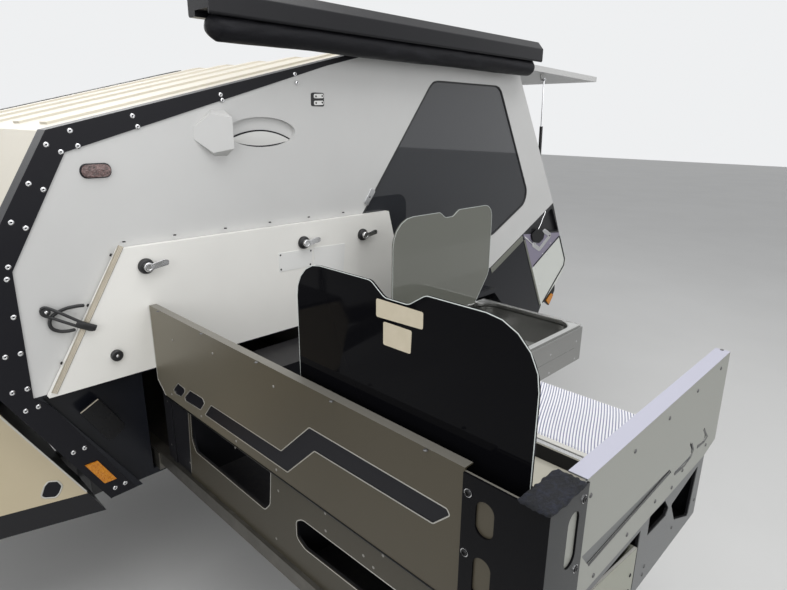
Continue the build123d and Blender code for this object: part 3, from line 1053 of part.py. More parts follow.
# Drawer at the kitchen's outer end, its front flush with the end wall's plate
DRAWER_SHEET = 5.0
DRAWER_FACE = 12.0
drawer_face = KITCHEN_OUTER + PANEL_THICK
drawer = block(DRAWER_FRONT, DRAWER_REAR, drawer_inner, drawer_face, DRAWER_LOW, DRAWER_HIGH)
drawer -= block(DRAWER_FRONT + DRAWER_SHEET, DRAWER_REAR - DRAWER_SHEET, drawer_inner + DRAWER_SHEET,
                drawer_face - DRAWER_FACE, DRAWER_LOW + DRAWER_SHEET, DRAWER_HIGH + 1)
drawer += side_slab([(DRAWER_FRONT, DRAWER_LOW), (DRAWER_FRONT, DRAWER_CREST),
                     (DRAWER_FRONT + 68, DRAWER_CREST),
                     (DRAWER_REAR, DRAWER_HIGH), (DRAWER_REAR, DRAWER_LOW)],
                    drawer_face - DRAWER_FACE / 2, drawer_face)
keep("drawer", drawer)

# Kitchen door folded up against the side, and the closed locker door on the other side
door_closed = [(DOOR_FRONT, DOOR_TOP), (DOOR_FRONT + DOOR_RAKE - 4, DOOR_BOTTOM - 4),
               (DOOR_REAR - 112, DOOR_BOTTOM - 4),
               (DOOR_REAR, DOOR_TOP)]
door_open = [(station, 2 * DOOR_AXIS - height) for station, height in door_closed]


def door_pan(outline, y_inner, y_outer, open_towards):
    """A door skin with folded edges; the hollow side faces the given direction along y."""
    pan = side_slab(outline, y_inner, y_outer)
    middle = (sum(p[0] for p in outline) / 4, sum(p[1] for p in outline) / 4)
    inset = [(middle[0] + (p[0] - middle[0]) * 0.965,
              middle[1] + (p[1] - middle[1]) * 0.88) for p in outline]
    return pan - side_slab(inset, open_towards,
                           open_towards + (1 if open_towards > (y_inner + y_outer) / 2 else -1)
                           * -(DOOR_THICK - 3))


left_door = door_pan(door_open, HALF_WIDTH + 2, HALF_WIDTH + 2 + DOOR_THICK, HALF_WIDTH + 2)
for station, height in ((2118, 1234), (2694, 1224), (2984, 1216)):
    left_door += rod((station, HALF_WIDTH + DOOR_THICK, height),
                     (station, HALF_WIDTH + DOOR_THICK + 26, height), 13)
locker_outline = [(DOOR_FRONT + LOCKER_SETBACK, DOOR_TOP)] + door_closed[1:]
right_door = door_pan(locker_outline, -HALF_WIDTH + 2, -HALF_WIDTH + 2 + DOOR_THICK,
                      -HALF_WIDTH + 2 + DOOR_THICK)
hinge_y = HALF_WIDTH + LEAF_THICK
hinge_span = DOOR_REAR - DOOR_FRONT - 240 - 3 * LEAF_WIDTH
for index in range(LOCKER_HINGES):
    station = DOOR_FRONT + 120 + index * hinge_span / (LOCKER_HINGES - 1)
    for turn, place in enumerate((station, station + LEAF_WIDTH + SLIDE_FIT,
                                  station + 2 * (LEAF_WIDTH + SLIDE_FIT))):
        knuckle = rod((place, -hinge_y, DOOR_AXIS), (place + LEAF_WIDTH, -hinge_y, DOOR_AXIS), LEAF_THICK)
        if turn == 1:
            right_door += knuckle
            right_door += block(place, place + LEAF_WIDTH, -hinge_y + 1, -HALF_WIDTH + 2, DOOR_AXIS - 26,
                                DOOR_AXIS)
        else:
            side_walls[-1] += knuckle
            side_walls[-1] += block(place, place + LEAF_WIDTH, -hinge_y, -HALF_WIDTH, DOOR_AXIS,
                                    WAIST_HEIGHT)
keep("locker_door", right_door)
keep("lower_side_right", side_walls[-1] + mirror(rear_wall, about=Plane.XZ))
hinge = rod((DOOR_FRONT + 60, HALF_WIDTH + 4, DOOR_AXIS), (DOOR_REAR - 60, HALF_WIDTH + 4, DOOR_AXIS), 4)
hinge += block(DOOR_FRONT + 60, DOOR_REAR - 60, HALF_WIDTH, HALF_WIDTH + 4, DOOR_AXIS, DOOR_AXIS + 8)
left_door += hinge
keep("kitchen_door", left_door)

# Lamps and reflectors
LAMP = (SHOULDER_STATION + 106, SHOULDER_HEIGHT - 104)
LAMP_DEPTH = 8.0
lamp = extrude(SlotOverall(76, 34), amount=LAMP_DEPTH)
keep("side_lamps", both(Pos(-LAMP[0], HALF_WIDTH + LAMP_DEPTH, LAMP[1]) * Rot(90, 0, 0) * lamp))
AMBER_LOW = FLOOR_HEIGHT + 62
AMBER_HIGH = AMBER_LOW + 82
AMBER_WIDTH = 36.0
amber_outline = [(strip_station(AMBER_LOW) + 17, AMBER_LOW), (strip_station(AMBER_HIGH) + 17, AMBER_HIGH),
                 (strip_station(AMBER_HIGH) + 17 + AMBER_WIDTH, AMBER_HIGH),
                 (strip_station(AMBER_LOW) + 17 + AMBER_WIDTH, AMBER_LOW)]
amber = side_slab(amber_outline, HALF_WIDTH + TRIM_THICK, HALF_WIDTH + TRIM_THICK + 5)
keep("amber_reflectors", both(amber))
lamp_chain = [(TAIL[2][0] + share * (TAIL[3][0] - TAIL[2][0]),
               TAIL[2][1] + share * (TAIL[3][1] - TAIL[2][1]))
              for share in (0.1, 0.9)]
keep("tail_lamps", both(shell_band(lamp_chain, 0, 9, HALF_WIDTH - 92, HALF_WIDTH - 22)))


def scoop_form(inset):
    """A wedge cowl that stands off the side towards its open rear edge, drawn in by an inset."""
    tip, edge = (SCOOP[0] - SCOOP_LENGTH + 3 * inset, SCOOP[0] + 1 if inset else SCOOP[0])
    half = SCOOP_HALF_HEIGHT - inset
    deep = SCOOP_DEPTH - inset
    form = side_slab([(tip, SCOOP[1] + 18), (tip + 64, SCOOP[1] + half), (edge, SCOOP[1] + half),
                      (edge, SCOOP[1] - half), (tip + 64, SCOOP[1] - half), (tip, SCOOP[1] - 18)],
                     HALF_WIDTH - (1 if inset else 0), HALF_WIDTH + deep)
    form = form & flat_slab([(tip, HALF_WIDTH - 1), (tip, HALF_WIDTH + 1), (edge, HALF_WIDTH + deep),
                             (edge, HALF_WIDTH - 1)], SCOOP[1] - half, SCOOP[1] + half)
    return form & cross_slab([(HALF_WIDTH - 1, SCOOP[1] - half), (HALF_WIDTH - 1, SCOOP[1] + half),
                              (HALF_WIDTH + deep, SCOOP[1] + half - 24),
                              (HALF_WIDTH + deep, SCOOP[1] - half + 24)],
                             tip, edge)


SCOOP = (SHOULDER_STATION + 508, SHOULDER_HEIGHT - 8)
SCOOP_LENGTH = 108.0
SCOOP_HALF_HEIGHT = 70.0
SCOOP_DEPTH = 46.0
scoop = scoop_form(0) - scoop_form(2.5)
keep("vent_scoops", both(scoop))

os.makedirs("parts", exist_ok=True)
for name, piece in parts.items():
    lowered = Pos(0, 0, -COUPLING_HEIGHT) * piece
    export_step(Compound(children=list(lowered.solids())), f"parts/{name}.step")
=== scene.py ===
"""Off-road teardrop camping trailer, parked with its side kitchen drawn out, dressed for a studio view.

The solid model is the fixed frame. Sizes are written in millimetres as a station behind the tow ball's
centre, a distance to the trailer's left and a height above the ground, and go into the meshes in metres.
"""
import math

import bmesh
import bpy
import numpy as np
from mathutils import Matrix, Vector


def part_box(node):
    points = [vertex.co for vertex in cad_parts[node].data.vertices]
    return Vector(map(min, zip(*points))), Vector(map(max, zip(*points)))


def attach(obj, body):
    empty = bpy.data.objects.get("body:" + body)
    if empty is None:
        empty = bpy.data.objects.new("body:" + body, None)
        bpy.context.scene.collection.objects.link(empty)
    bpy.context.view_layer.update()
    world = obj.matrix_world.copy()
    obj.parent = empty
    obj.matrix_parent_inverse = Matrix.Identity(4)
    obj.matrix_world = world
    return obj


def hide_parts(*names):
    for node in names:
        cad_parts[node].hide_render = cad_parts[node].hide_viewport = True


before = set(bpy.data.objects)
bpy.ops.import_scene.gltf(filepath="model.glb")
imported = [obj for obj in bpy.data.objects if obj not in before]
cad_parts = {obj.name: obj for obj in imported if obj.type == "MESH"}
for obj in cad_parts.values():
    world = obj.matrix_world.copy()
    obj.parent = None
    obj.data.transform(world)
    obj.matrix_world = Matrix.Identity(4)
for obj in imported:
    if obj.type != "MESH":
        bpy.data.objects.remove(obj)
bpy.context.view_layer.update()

# The view: off the trailer's left front corner, at eye height, looking back and a little down along its
# side, with a wide lens.
def stand(thing, right, upward, back, spot):
    """Turn an object to three unit directions, set it at the spot and put it in the scene."""
    thing.matrix_world = Matrix([*zip(right, upward, back, spot), (0, 0, 0, 1)])
    bpy.context.scene.collection.objects.link(thing)


camera_data = bpy.data.cameras.new("camera")
camera_data.sensor_width = 36.0
camera_data.lens = 26.3
camera = bpy.data.objects.new("camera", camera_data)
stand(camera, right=(-0.7002, 0.7139, 0.0095), upward=(-0.2003, -0.2092, 0.9572), back=(0.6853, 0.6683, 0.2894),
      spot=(-1.450, 2.500, 1.150))
bpy.context.scene.camera = camera
bpy.context.scene.view_settings.view_transform = "Standard"


# The chassis: two folded steel rails, cross members and a drawbar, welded and powder coated satin black,
# with road dust settled on it. The floor sheet and the wheel wells share the coat.
class Signal:
    """One output of a shader node. Arithmetic on it adds Math nodes to the finish that it belongs to."""

    def __init__(self, finish, socket):
        self.finish = finish
        self.socket = socket

    def math(self, operation, other=None, first=None):
        values = {0: self if first is None else first}
        if other is not None:
            values[1] = other
        return self.finish.add("ShaderNodeMath", {"operation": operation}, values)

    def __add__(self, other):
        return self.math("ADD", other)

    def __radd__(self, other):
        return self.math("ADD", other)

    def __mul__(self, other):
        return self.math("MULTIPLY", other)

    def __rmul__(self, other):
        return self.math("MULTIPLY", other)

    def __sub__(self, other):
        return self.math("SUBTRACT", other)

    def __rsub__(self, other):
        return self.math("SUBTRACT", self, first=other)

    def __gt__(self, other):
        return self.math("GREATER_THAN", other)

    def sine(self):
        return self.math("SINE")

    def held(self):
        """The value held between 0 and 1."""
        return self.finish.add("ShaderNodeClamp", {}, {"Value": self})

    def step(self, low, high):
        """0 below low, 1 above high, and a smooth rise between them."""
        return self.finish.add("ShaderNodeMapRange", {"interpolation_type": "SMOOTHSTEP"},
                               {"Value": self, "From Min": low, "From Max": high})


class Finish:
    """A material with one surface shader, whose constants stand on the shader's own sockets."""

    def __init__(self, name, colour, roughness, metallic=0.0, **constants):
        self.material = bpy.data.materials.new(name)
        self.material.use_nodes = True
        self.nodes = self.material.node_tree.nodes
        self.links = self.material.node_tree.links
        self.shader = self.nodes["Principled BSDF"]
        self.shader.inputs["Base Color"].default_value = (*colour, 1.0)
        self.shader.inputs["Roughness"].default_value = roughness
        self.shader.inputs["Metallic"].default_value = metallic
        for socket, value in constants.items():
            self.shader.inputs[socket.replace("_", " ").title().replace("Ior", "IOR")].default_value = value
        self.place = self.add("ShaderNodeTexCoord", {}, {}, "Object")

    def add(self, kind, settings, values, output=0):
        """One node of the given type, its settings made first, then its sockets' values or links."""
        node = self.nodes.new(kind)
        for name, setting in settings.items():
            setattr(node, name, setting)
        for socket, value in values.items():
            if isinstance(value, Signal):
                self.links.new(value.socket, node.inputs[socket])
            else:
                node.inputs[socket].default_value = value
        return Signal(self, node.outputs[output])

    def axis(self, name):
        """One coordinate of the piece, in metres."""
        return self.add("ShaderNodeSeparateXYZ", {}, {0: self.place}, name)

    def facing(self, name):
        """One part of the direction that the surface faces."""
        normal = self.add("ShaderNodeNewGeometry", {}, {}, "Normal")
        return self.add("ShaderNodeSeparateXYZ", {}, {0: normal}, name)

    def stretched(self, scale):
        """The piece's coordinates scaled by three factors."""
        return self.add("ShaderNodeMapping", {}, {"Vector": self.place, "Scale": scale})

    def noise(self, scale, detail=3.0, rough=0.55, vector=None):
        """Cloudy noise, with so many turns a metre."""
        return self.add("ShaderNodeTexNoise", {}, {"Vector": vector or self.place, "Scale": scale,
                                                   "Detail": detail, "Roughness": rough})

    def cells(self, scale, output="Distance"):
        """Cells with so many a metre: the distance from a cell's point, or a colour for each cell."""
        return self.add("ShaderNodeTexVoronoi", {}, {"Vector": self.place, "Scale": scale}, output)

    def between(self, factor, first, second):
        """A colour mixed from two by a factor."""
        sides = [(*c, 1.0) if isinstance(c, tuple) else c for c in (first, second)]
        return self.add("ShaderNodeMix", {"data_type": "RGBA"}, {0: factor, 6: sides[0], 7: sides[1]}, 2)

    def set(self, socket, signal):
        self.links.new(signal.socket, self.shader.inputs[socket])

    def clouded(self, first, second, scale, detail=3.0):
        """Base colour that wanders between two with a noise."""
        self.set("Base Color", self.between(self.noise(scale, detail), first, second))
        return self

    def worn(self, low, spread, scale, detail=3.0):
        """Roughness that wanders up from a low value by the spread with a noise."""
        self.set("Roughness", (self.noise(scale, detail) * spread + low).held())
        return self

    def bump(self, height, distance):
        """Relief from a height between 0 and 1, as deep as the distance in metres."""
        self.set("Normal", self.add("ShaderNodeBump", {}, {"Height": height, "Distance": distance}))

    def dress(self, *names):
        """Put the finish on solid nodes."""
        for name in names:
            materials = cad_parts[name].data.materials
            materials.clear()
            materials.append(self.material)


def coat(name, colour, roughness, peel=0.0002, dust=0.25, metallic=0.0, dust_colour=(0.30, 0.27, 0.23),
         **constants):
    """A sprayed coat: fine orange peel from noise, cloudy gloss, and dust on what faces up."""
    finish = Finish(name, colour, roughness, metallic, **constants)
    cloud = finish.noise(3.0, 5.0)
    speck = finish.noise(60.0, 4.0, 0.7)
    settled = (finish.facing("Z").step(0.2, 1.0) * (speck.step(0.35, 0.8) * 0.6 + cloud * 0.4) * dust).held()
    tone = finish.between(cloud, tuple(c * 0.93 for c in colour), tuple(min(1.0, c * 1.06) for c in colour))
    finish.set("Base Color", finish.between(settled, tone, dust_colour))
    finish.set("Roughness", (cloud * 0.10 + (roughness - 0.05) + settled * 0.5).held())
    finish.bump(finish.noise(420.0, 2.0), peel)
    return finish


chassis_paint = coat("chassis_paint", (0.018, 0.018, 0.019), 0.42, peel=0.0004)
chassis_paint.dress("chassis_frame", "drawbar", "body_floor", "wheel_wells", "trailing_arms")

# Coupling, jockey wheel's tube and fork, and the two rear legs: pressed and welded steel, hot-dip
# galvanised, so that the zinc's grey spangle shows all over.
galvanised = Finish("galvanised", (0.44, 0.45, 0.46), 0.42, 1.0)
spangle = galvanised.cells(90.0, output="Color")
spangle_tone = galvanised.add("ShaderNodeRGBToBW", {}, {0: spangle})
galvanised.set("Base Color", galvanised.between(spangle_tone * 0.6 + galvanised.noise(4.0) * 0.4,
                                                (0.34, 0.35, 0.36), (0.55, 0.56, 0.57)))
galvanised.set("Roughness", (spangle_tone * 0.22 + 0.34).held())
galvanised.bump(galvanised.noise(160.0, 3.0), 0.0003)
galvanised.dress("coupling", "jockey_tube", "jockey_fork", "stabiliser_leg_left", "stabiliser_leg_right")

# Springs, dampers, hubs and strut pins: wound, drawn and turned steel, left bare or thinly oiled and
# greyed by the road.
steel = Finish("steel", (0.32, 0.32, 0.33), 0.38, 1.0)
steel.clouded((0.24, 0.23, 0.22), (0.42, 0.42, 0.43), 30.0, 5.0).worn(0.25, 0.30, 12.0, 4.0)
steel.dress("springs", "dampers", "hub_left", "hub_right", "strut_pins")

# Wheels: off-road tyres moulded of black rubber, with a blocked tread and ribbed walls, on cast alloy rims.
# The jockey wheel's tyre is plain black rubber.
AHEAD, LEFT, UP = (1, 0, 0), (0, 1, 0), (0, 0, 1)
SIDES = (1, -1)
GROUND = 500.0


def place(station, y, height):
    """Frame metres from a station behind the ball, a y and a height above the ground in millimetres."""
    station, y, height = np.broadcast_arrays(*(np.asarray(v, float) for v in (station, y, height)))
    return np.stack([-station, y, height - GROUND], axis=-1) / 1000.0


def skin(points, closed_down=False, closed_across=False):
    """Quads over a (rows, columns, 3) array: each joins a point, the next row's, its neighbour and its own."""
    rows, columns = points.shape[:2]
    index = np.arange(rows * columns).reshape(rows, columns)
    if closed_down:
        index = np.vstack([index, index[:1]])
    if closed_across:
        index = np.hstack([index, index[:, :1]])
    quads = np.stack([index[:-1, :-1], index[1:, :-1], index[1:, 1:], index[:-1, 1:]], axis=-1)
    return points.reshape(-1, 3), quads.reshape(-1, 4).tolist()


def build(name, parts, finish, body="body", smooth=30.0, bevel=0.0, replaces=()):
    """One object from (points, faces) parts, merged at its seams, faced outwards, finished and set to ride."""
    mesh = bpy.data.meshes.new(name)
    points, faces, start = [], [], 0
    for part_points, part_faces in parts:
        points.append(part_points)
        faces.extend([[corner + start for corner in face] for face in part_faces])
        start += len(part_points)
    mesh.from_pydata(np.vstack(points).tolist(), [], faces)
    shape = bmesh.new()
    shape.from_mesh(mesh)
    bmesh.ops.remove_doubles(shape, verts=shape.verts, dist=1e-6)
    bmesh.ops.recalc_face_normals(shape, faces=shape.faces)
    shape.to_mesh(mesh)
    shape.free()
    mesh.shade_smooth()
    mesh.set_sharp_from_angle(angle=math.radians(smooth))
    piece = bpy.data.objects.new(name, mesh)
    bpy.context.scene.collection.objects.link(piece)
    mesh.materials.append(finish.material)
    if bevel:
        rounding = piece.modifiers.new("edges", "BEVEL")
        rounding.width = bevel
        rounding.segments = 2
        rounding.limit_method = "ANGLE"
        rounding.harden_normals = True
    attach(piece, body)
    if replaces:
        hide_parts(*replaces)
    return piece


def lathe(profile, steps=24):
    """A (radius, height) profile in millimetres turned about Z."""
    radius, height = np.array(profile, float).T / 1000
    angle = np.linspace(0, 2 * np.pi, steps, endpoint=False)[:, None]
    return skin(np.stack([radius * np.cos(angle), radius * np.sin(angle), height + 0 * angle], axis=-1),
                closed_down=True)


def copies(part, origins, normal):
    """The part set at each origin, its Z turned to the normal and its X to the height, or forward on a level
    surface."""
    points, faces = part
    normal = np.array(normal, float) / np.linalg.norm(normal)
    along = (1.0, 0.0, 0.0) if abs(normal[2]) > 0.9 else (0.0, 0.0, 1.0)
    along = np.array(along, float) - normal * np.dot(along, normal)
    along /= np.linalg.norm(along)
    axes = np.stack([along, np.cross(normal, along), normal])
    origins = np.atleast_2d(origins)
    spread = (points @ axes)[None] + origins[:, None]
    offsets = np.arange(len(origins))[:, None, None] * len(points)
    width = max(len(face) for face in faces)
    padded = np.array([list(face) + [-1] * (width - len(face)) for face in faces])
    many = np.where(padded[None] < 0, -1, padded[None] + offsets).reshape(-1, width).tolist()
    return spread.reshape(-1, 3), [[corner for corner in face if corner >= 0] for face in many]


rubber = Finish("tyre_rubber", (0.022, 0.022, 0.023), 0.75)
road_dust = rubber.noise(25.0, 5.0, 0.65)
rubber.set("Base Color", rubber.between(road_dust.step(0.45, 0.8) * 0.5, (0.018, 0.018, 0.019),
                                        (0.085, 0.078, 0.068)))
rubber.set("Roughness", (road_dust * 0.25 + 0.62).held())
rubber.bump(rubber.noise(300.0, 3.0), 0.0005)
WHEEL_STATION, WHEEL_Y = 3650.0, 760.0
TYRE_RADIUS, WALL_HEIGHT, CROWN_DROP = 400.0, 190.0, 3.0
TREAD_HALF, SHOULDER, GROOVE_REACH = 116.0, 0.62, 0.72
TREAD_PITCHES, TREAD_DEPTH = 44, 9.0
TYRE_INSIDE = [(210, 98), (330, 108), (372, 90), (372, -90), (330, -108), (210, -98)]


def tyre(side):
    """Ring of sections: a section is a rounded box from bead to bead. Its tread drops by a groove's depth along
    slanting cross grooves, where a sine of the turn is low, and along a stepped groove on each side of the
    middle and a middle groove whose width swells with the turn."""
    turn = np.linspace(0, 2 * np.pi, TREAD_PITCHES * 12, endpoint=False)[:, None]
    across = np.linspace(-1, 1, 57)[None, :]
    reach, beat = np.abs(across), np.sin(TREAD_PITCHES * turn)
    wall = np.clip((reach - SHOULDER) / (1 - SHOULDER), 0, 1)
    crown = TYRE_RADIUS - CROWN_DROP * (across / SHOULDER) ** 2 * (reach < SHOULDER)
    radius = np.where(wall > 0, TYRE_RADIUS - CROWN_DROP - WALL_HEIGHT * wall ** 1.25, crown)
    bulge = np.where(wall > 0, TREAD_HALF + 16.0 * np.sin(np.pi * wall ** 0.8) - 14.0 * wall,
                     TREAD_HALF * reach / SHOULDER)
    lug = np.sin(TREAD_PITCHES * turn + 2.2 * (across / SHOULDER))
    cross_groove = (lug < -0.35) & (reach > 0.16)
    zigzag = np.abs(reach - 0.24 - 0.035 * np.sign(beat)) < 0.025
    middle = reach < 0.05 * (1 + 0.5 * beat)
    radius = radius - TREAD_DEPTH * (cross_groove | zigzag | middle) * (reach < GROOVE_REACH)
    ribs = 1.2 * np.sign(np.sin(90 * turn)) * ((wall > 0.25) & (wall < 0.36))
    inside_radius, inside_y = np.array(TYRE_INSIDE, float).T
    radius = np.concatenate([radius, 0 * turn + inside_radius], axis=1)
    y = np.concatenate([np.sign(across) * (bulge + ribs), 0 * turn + inside_y], axis=1)
    ring = place(WHEEL_STATION + radius * np.cos(turn), side * (WHEEL_Y + y), TYRE_RADIUS + radius * np.sin(turn))
    return skin(ring, closed_down=True, closed_across=True)


for label, side in zip(("left", "right"), SIDES):
    build(f"tyre_tread_{label}", [tyre(side)], rubber, f"wheel_{label}", smooth=35,
          replaces=[f"tyre_{label}"])
wheel_rubber = coat("wheel_rubber", (0.03, 0.03, 0.03), 0.7, peel=0.0006, dust=0.5)
wheel_rubber.dress("jockey_wheel")
alloy = Finish("rim_alloy", (0.55, 0.56, 0.57), 0.30, 1.0)
alloy.clouded((0.46, 0.47, 0.48), (0.62, 0.63, 0.64), 8.0, 4.0).worn(0.22, 0.2, 40.0)
alloy.dress("rim_left", "rim_right")

# Body shell: panels bonded over a frame. The upper ones, the raised rear hatch, the doors and the vent scoops
# are sprayed gloss white, the lower ones and the mudguards black, and the roof is one ribbed cream skin.
WHITE_DUST = (0.5, 0.47, 0.42)
# The same white paint in two tones: the body's white is set dim, painted shade on its sides, and the kitchen door's
# white is set lighter, painted light on the door.
white_paint = coat("white_paint", (0.60, 0.60, 0.59), 0.30, peel=0.00012, dust=0.08, dust_colour=WHITE_DUST)
white_paint.dress("upper_side_left", "upper_side_right", "front_panel", "rear_hatch", "vent_scoops", "locker_door")
roof_skin = coat("roof_skin", (0.66, 0.62, 0.53), 0.45, peel=0.0003, dust=0.15, dust_colour=(0.42, 0.38, 0.31))
roof_skin.dress("roof_panel")
lit_door_paint = coat("lit_door_paint", (0.84, 0.83, 0.79), 0.34, peel=0.0001, dust=0.06, dust_colour=WHITE_DUST)
lit_door_paint.dress("kitchen_door")
panel_black = coat("panel_black", (0.009, 0.010, 0.014), 0.24, peel=0.0001, dust=0.06, specular_ior_level=0.3)
panel_black.dress("lower_side_left", "lower_side_right", "mudguards")

# Windows: one tinted sheet of glass in each side, bonded in its cut-out, with a thin black rubber seal
# pressed round it.
glass = Finish("window_glass", (0.030, 0.032, 0.037), 0.04, alpha=0.93, coat_weight=0.6, coat_roughness=0.02)
glass.set("Roughness", (glass.noise(5.0, 4.0).step(0.5, 0.9) * 0.06 + 0.03).held())
glass.dress("windows")


def rounded(corners, radius, steps=6, closed=True):
    """A polygon's outline with each corner turned by an arc that starts and ends at the radius from the corner:
    ((1-s)^2 a + 2s(1-s) w corner + s^2 b) / ((1-s)^2 + 2s(1-s) w + s^2), with w the cosine of half the turn."""
    corners = np.array(corners, float)
    before, after = np.roll(corners, 1, axis=0), np.roll(corners, -1, axis=0)
    to_before, to_after = before - corners, after - corners
    long_before, long_after = np.linalg.norm(to_before, axis=1), np.linalg.norm(to_after, axis=1)
    reach = np.minimum(radius, 0.45 * np.minimum(long_before, long_after))[:, None]
    a = corners + to_before / long_before[:, None] * reach
    b = corners + to_after / long_after[:, None] * reach
    s = np.linspace(0, 1, steps)[None, :, None]
    cosine = -np.sum(to_before * to_after, axis=1) / (long_before * long_after)
    w = np.sqrt(np.maximum(1 + cosine, 0.0) / 2)[:, None, None]
    curve = (1 - s) ** 2 * a[:, None] + 2 * s * (1 - s) * w * corners[:, None] + s ** 2 * b[:, None]
    curve = curve / ((1 - s) ** 2 + 2 * s * (1 - s) * w + s ** 2)
    if not closed:
        curve[0], curve[-1] = corners[0], corners[-1]
    return curve.reshape(-1, corners.shape[1])


def carried(profile, path, normal, closed=True):
    """An (across, out) profile in millimetres carried along a path: across lies along path direction x normal,
    widened at a corner by one over the cosine of half its turn, and out along the normal. Open ends are
    capped."""
    path = np.array(path, float)
    keep = np.linalg.norm(path - np.roll(path, 1, axis=0), axis=1) > 1e-7
    path = path[keep | (np.arange(len(path)) == 0) & (not closed)]
    ahead = np.roll(path, -1, axis=0) - path
    if not closed:
        ahead[-1] = ahead[-2]
    ahead /= np.linalg.norm(ahead, axis=1)[:, None]
    behind = np.roll(ahead, 1, axis=0)
    if not closed:
        behind[0] = ahead[0]
    tangent = ahead + behind
    tangent /= np.linalg.norm(tangent, axis=1)[:, None]
    normal = np.broadcast_to(np.array(normal, float), path.shape)
    sideways = np.cross(tangent, normal)
    sideways /= np.linalg.norm(sideways, axis=1)[:, None]
    widen = 1 / np.clip(np.sum(tangent * ahead, axis=1), 0.5, 1)
    across, out = np.array(profile, float).T / 1000
    points = (path[:, None] + sideways[:, None] * (across[None, :, None] * widen[:, None, None])
              + normal[:, None] * out[None, :, None])
    part_points, faces = skin(points, closed_down=closed, closed_across=True)
    if not closed:
        size = len(across)
        faces += [list(range(size))[::-1], list(range(len(part_points) - size, len(part_points)))]
    return part_points, faces


def on_side(outline, y, side=1):
    """Frame points of a (station, height) outline on a side plane."""
    outline = np.array(outline, float)
    return place(outline[:, 0], side * y, outline[:, 1])


def side_trims(profile, outline, off, closed=True):
    """A profile carried along the same outline on both side planes."""
    return [carried(profile, on_side(outline, off, side), (0, side, 0), closed) for side in SIDES]


seal_rubber = Finish("seal_rubber", (0.02, 0.02, 0.021), 0.6).worn(0.5, 0.2, 80.0)
SIDE_FACE = 800.0
WINDOW = [(3420, 1815), (3917, 1815), (4231, 1290), (4212, 1226), (3915, 1084), (2850, 1084)]
seal_profile = [(-3.5, -1), (-3, 1.4), (0, 2), (3, 1.4), (4, -4), (3, -6), (-1, -6)]
build("window_seals", side_trims(seal_profile, rounded(WINDOW, 40), SIDE_FACE), seal_rubber)

# Edge trim: a folded black angle along the front and roof edges, painted and held by bright blind rivets
# whose hollow heads show a dark core.
def fasteners(name, part, finish, slot, *groups, body="body"):
    """Copies of one head: each group is (frame points, the way that the heads face)."""
    return build(name, [copies(part, spots, normal) for spots, normal in groups], finish, body)


def on_sides(spots, off):
    """Groups of the same heads on both side planes."""
    return [(on_side(spots, off, side), (0, side, 0)) for side in SIDES]


trim_paint = coat("trim_paint", (0.008, 0.008, 0.011), 0.40, peel=0.0002, dust=0.06, specular_ior_level=0.2)
trim_paint.dress("edge_trims")
bright = Finish("bright_metal", (0.72, 0.72, 0.73), 0.22, 1.0).worn(0.16, 0.16, 60.0)
dark_core = Finish("rivet_core", (0.05, 0.05, 0.055), 0.5, 0.6).worn(0.4, 0.2, 90.0)
TRIM_FACE = 804.0
RIVETS = [(1973, 1618), (2139, 1657), (2416, 1723), (2421, 1707), (2150, 1628), (1987, 1579), (1944, 1565),
          (1912, 1584), (1858, 1489), (1889, 1472), (1805, 1396), (1835, 1378), (1781, 1284), (1773, 1253),
          (1772, 1151), (1772, 1049), (1737, 1049), (1772, 946), (1737, 946), (1790, 886), (1759, 884),
          (1886, 715), (1855, 713), (1983, 547), (1952, 545), (2700, 1800), (2708, 1772)]
rivet_ring = lathe([(2.6, 0.0), (2.6, 1.6), (3.4, 2.1), (5.2, 1.9), (6.8, 1.0), (7.2, 0.0)], 18)
rivet_core = lathe([(0.0, 0.9), (1.4, 0.8), (2.7, 0.5), (2.7, 0.0), (0.0, 0.0)], 12)
fasteners("trim_rivets", rivet_ring, bright, "steel", *on_sides(RIVETS, TRIM_FACE))
fasteners("trim_rivet_cores", rivet_core, dark_core, "steel", *on_sides(RIVETS, TRIM_FACE))

# Lamps, reflectors and side dishes: moulded lenses with prisms behind them, the clearance lamps in black
# bezels. The oval dish in each upper side holds a domed white inner plate, and a black strip in the gap round
# it is painted shade.
def prisms(lens, first, second, count, depth):
    """A moulded lens: each prism has its own shade, and facets half as large stand in relief."""
    lens.bump(lens.cells(2 * count), depth)
    lens.set("Base Color", lens.between(lens.cells(count), first, second))


lamp_lens = Finish("lamp_lens", (0.10, 0.03, 0.025), 0.12, coat_weight=0.5)
prisms(lamp_lens, (0.03, 0.018, 0.018), (0.26, 0.16, 0.15), 110.0, 0.0012)
lamp_lens.dress("side_lamps")
amber_lens = Finish("amber_lens", (0.60, 0.22, 0.01), 0.2, coat_weight=0.15)
prisms(amber_lens, (0.50, 0.15, 0.004), (0.68, 0.27, 0.010), 130.0, 0.0010)
amber_lens.dress("amber_reflectors")
tail_lens = Finish("tail_lens", (0.5, 0.03, 0.02), 0.14, coat_weight=0.5)
tail_lens.bump(tail_lens.cells(240.0), 0.0010)
AMBER_FROM, AMBER_TO = 0.16, 0.17
tail_amber = tail_lens.axis("Z").step(AMBER_FROM, AMBER_TO)
tail_lens.set("Base Color", tail_lens.between(tail_amber, (0.60, 0.03, 0.02), (0.75, 0.20, 0.03)))
tail_lens.dress("tail_lamps")
LAMP = [(1986, 1530), (2062, 1530), (2062, 1496), (1986, 1496)]
bezel_profile = [(-3, 0), (-3, 2.4), (0, 4.2), (3, 2.4), (3, 0)]
build("lamp_bezels", side_trims(bezel_profile, rounded(LAMP, 17), SIDE_FACE), trim_paint)


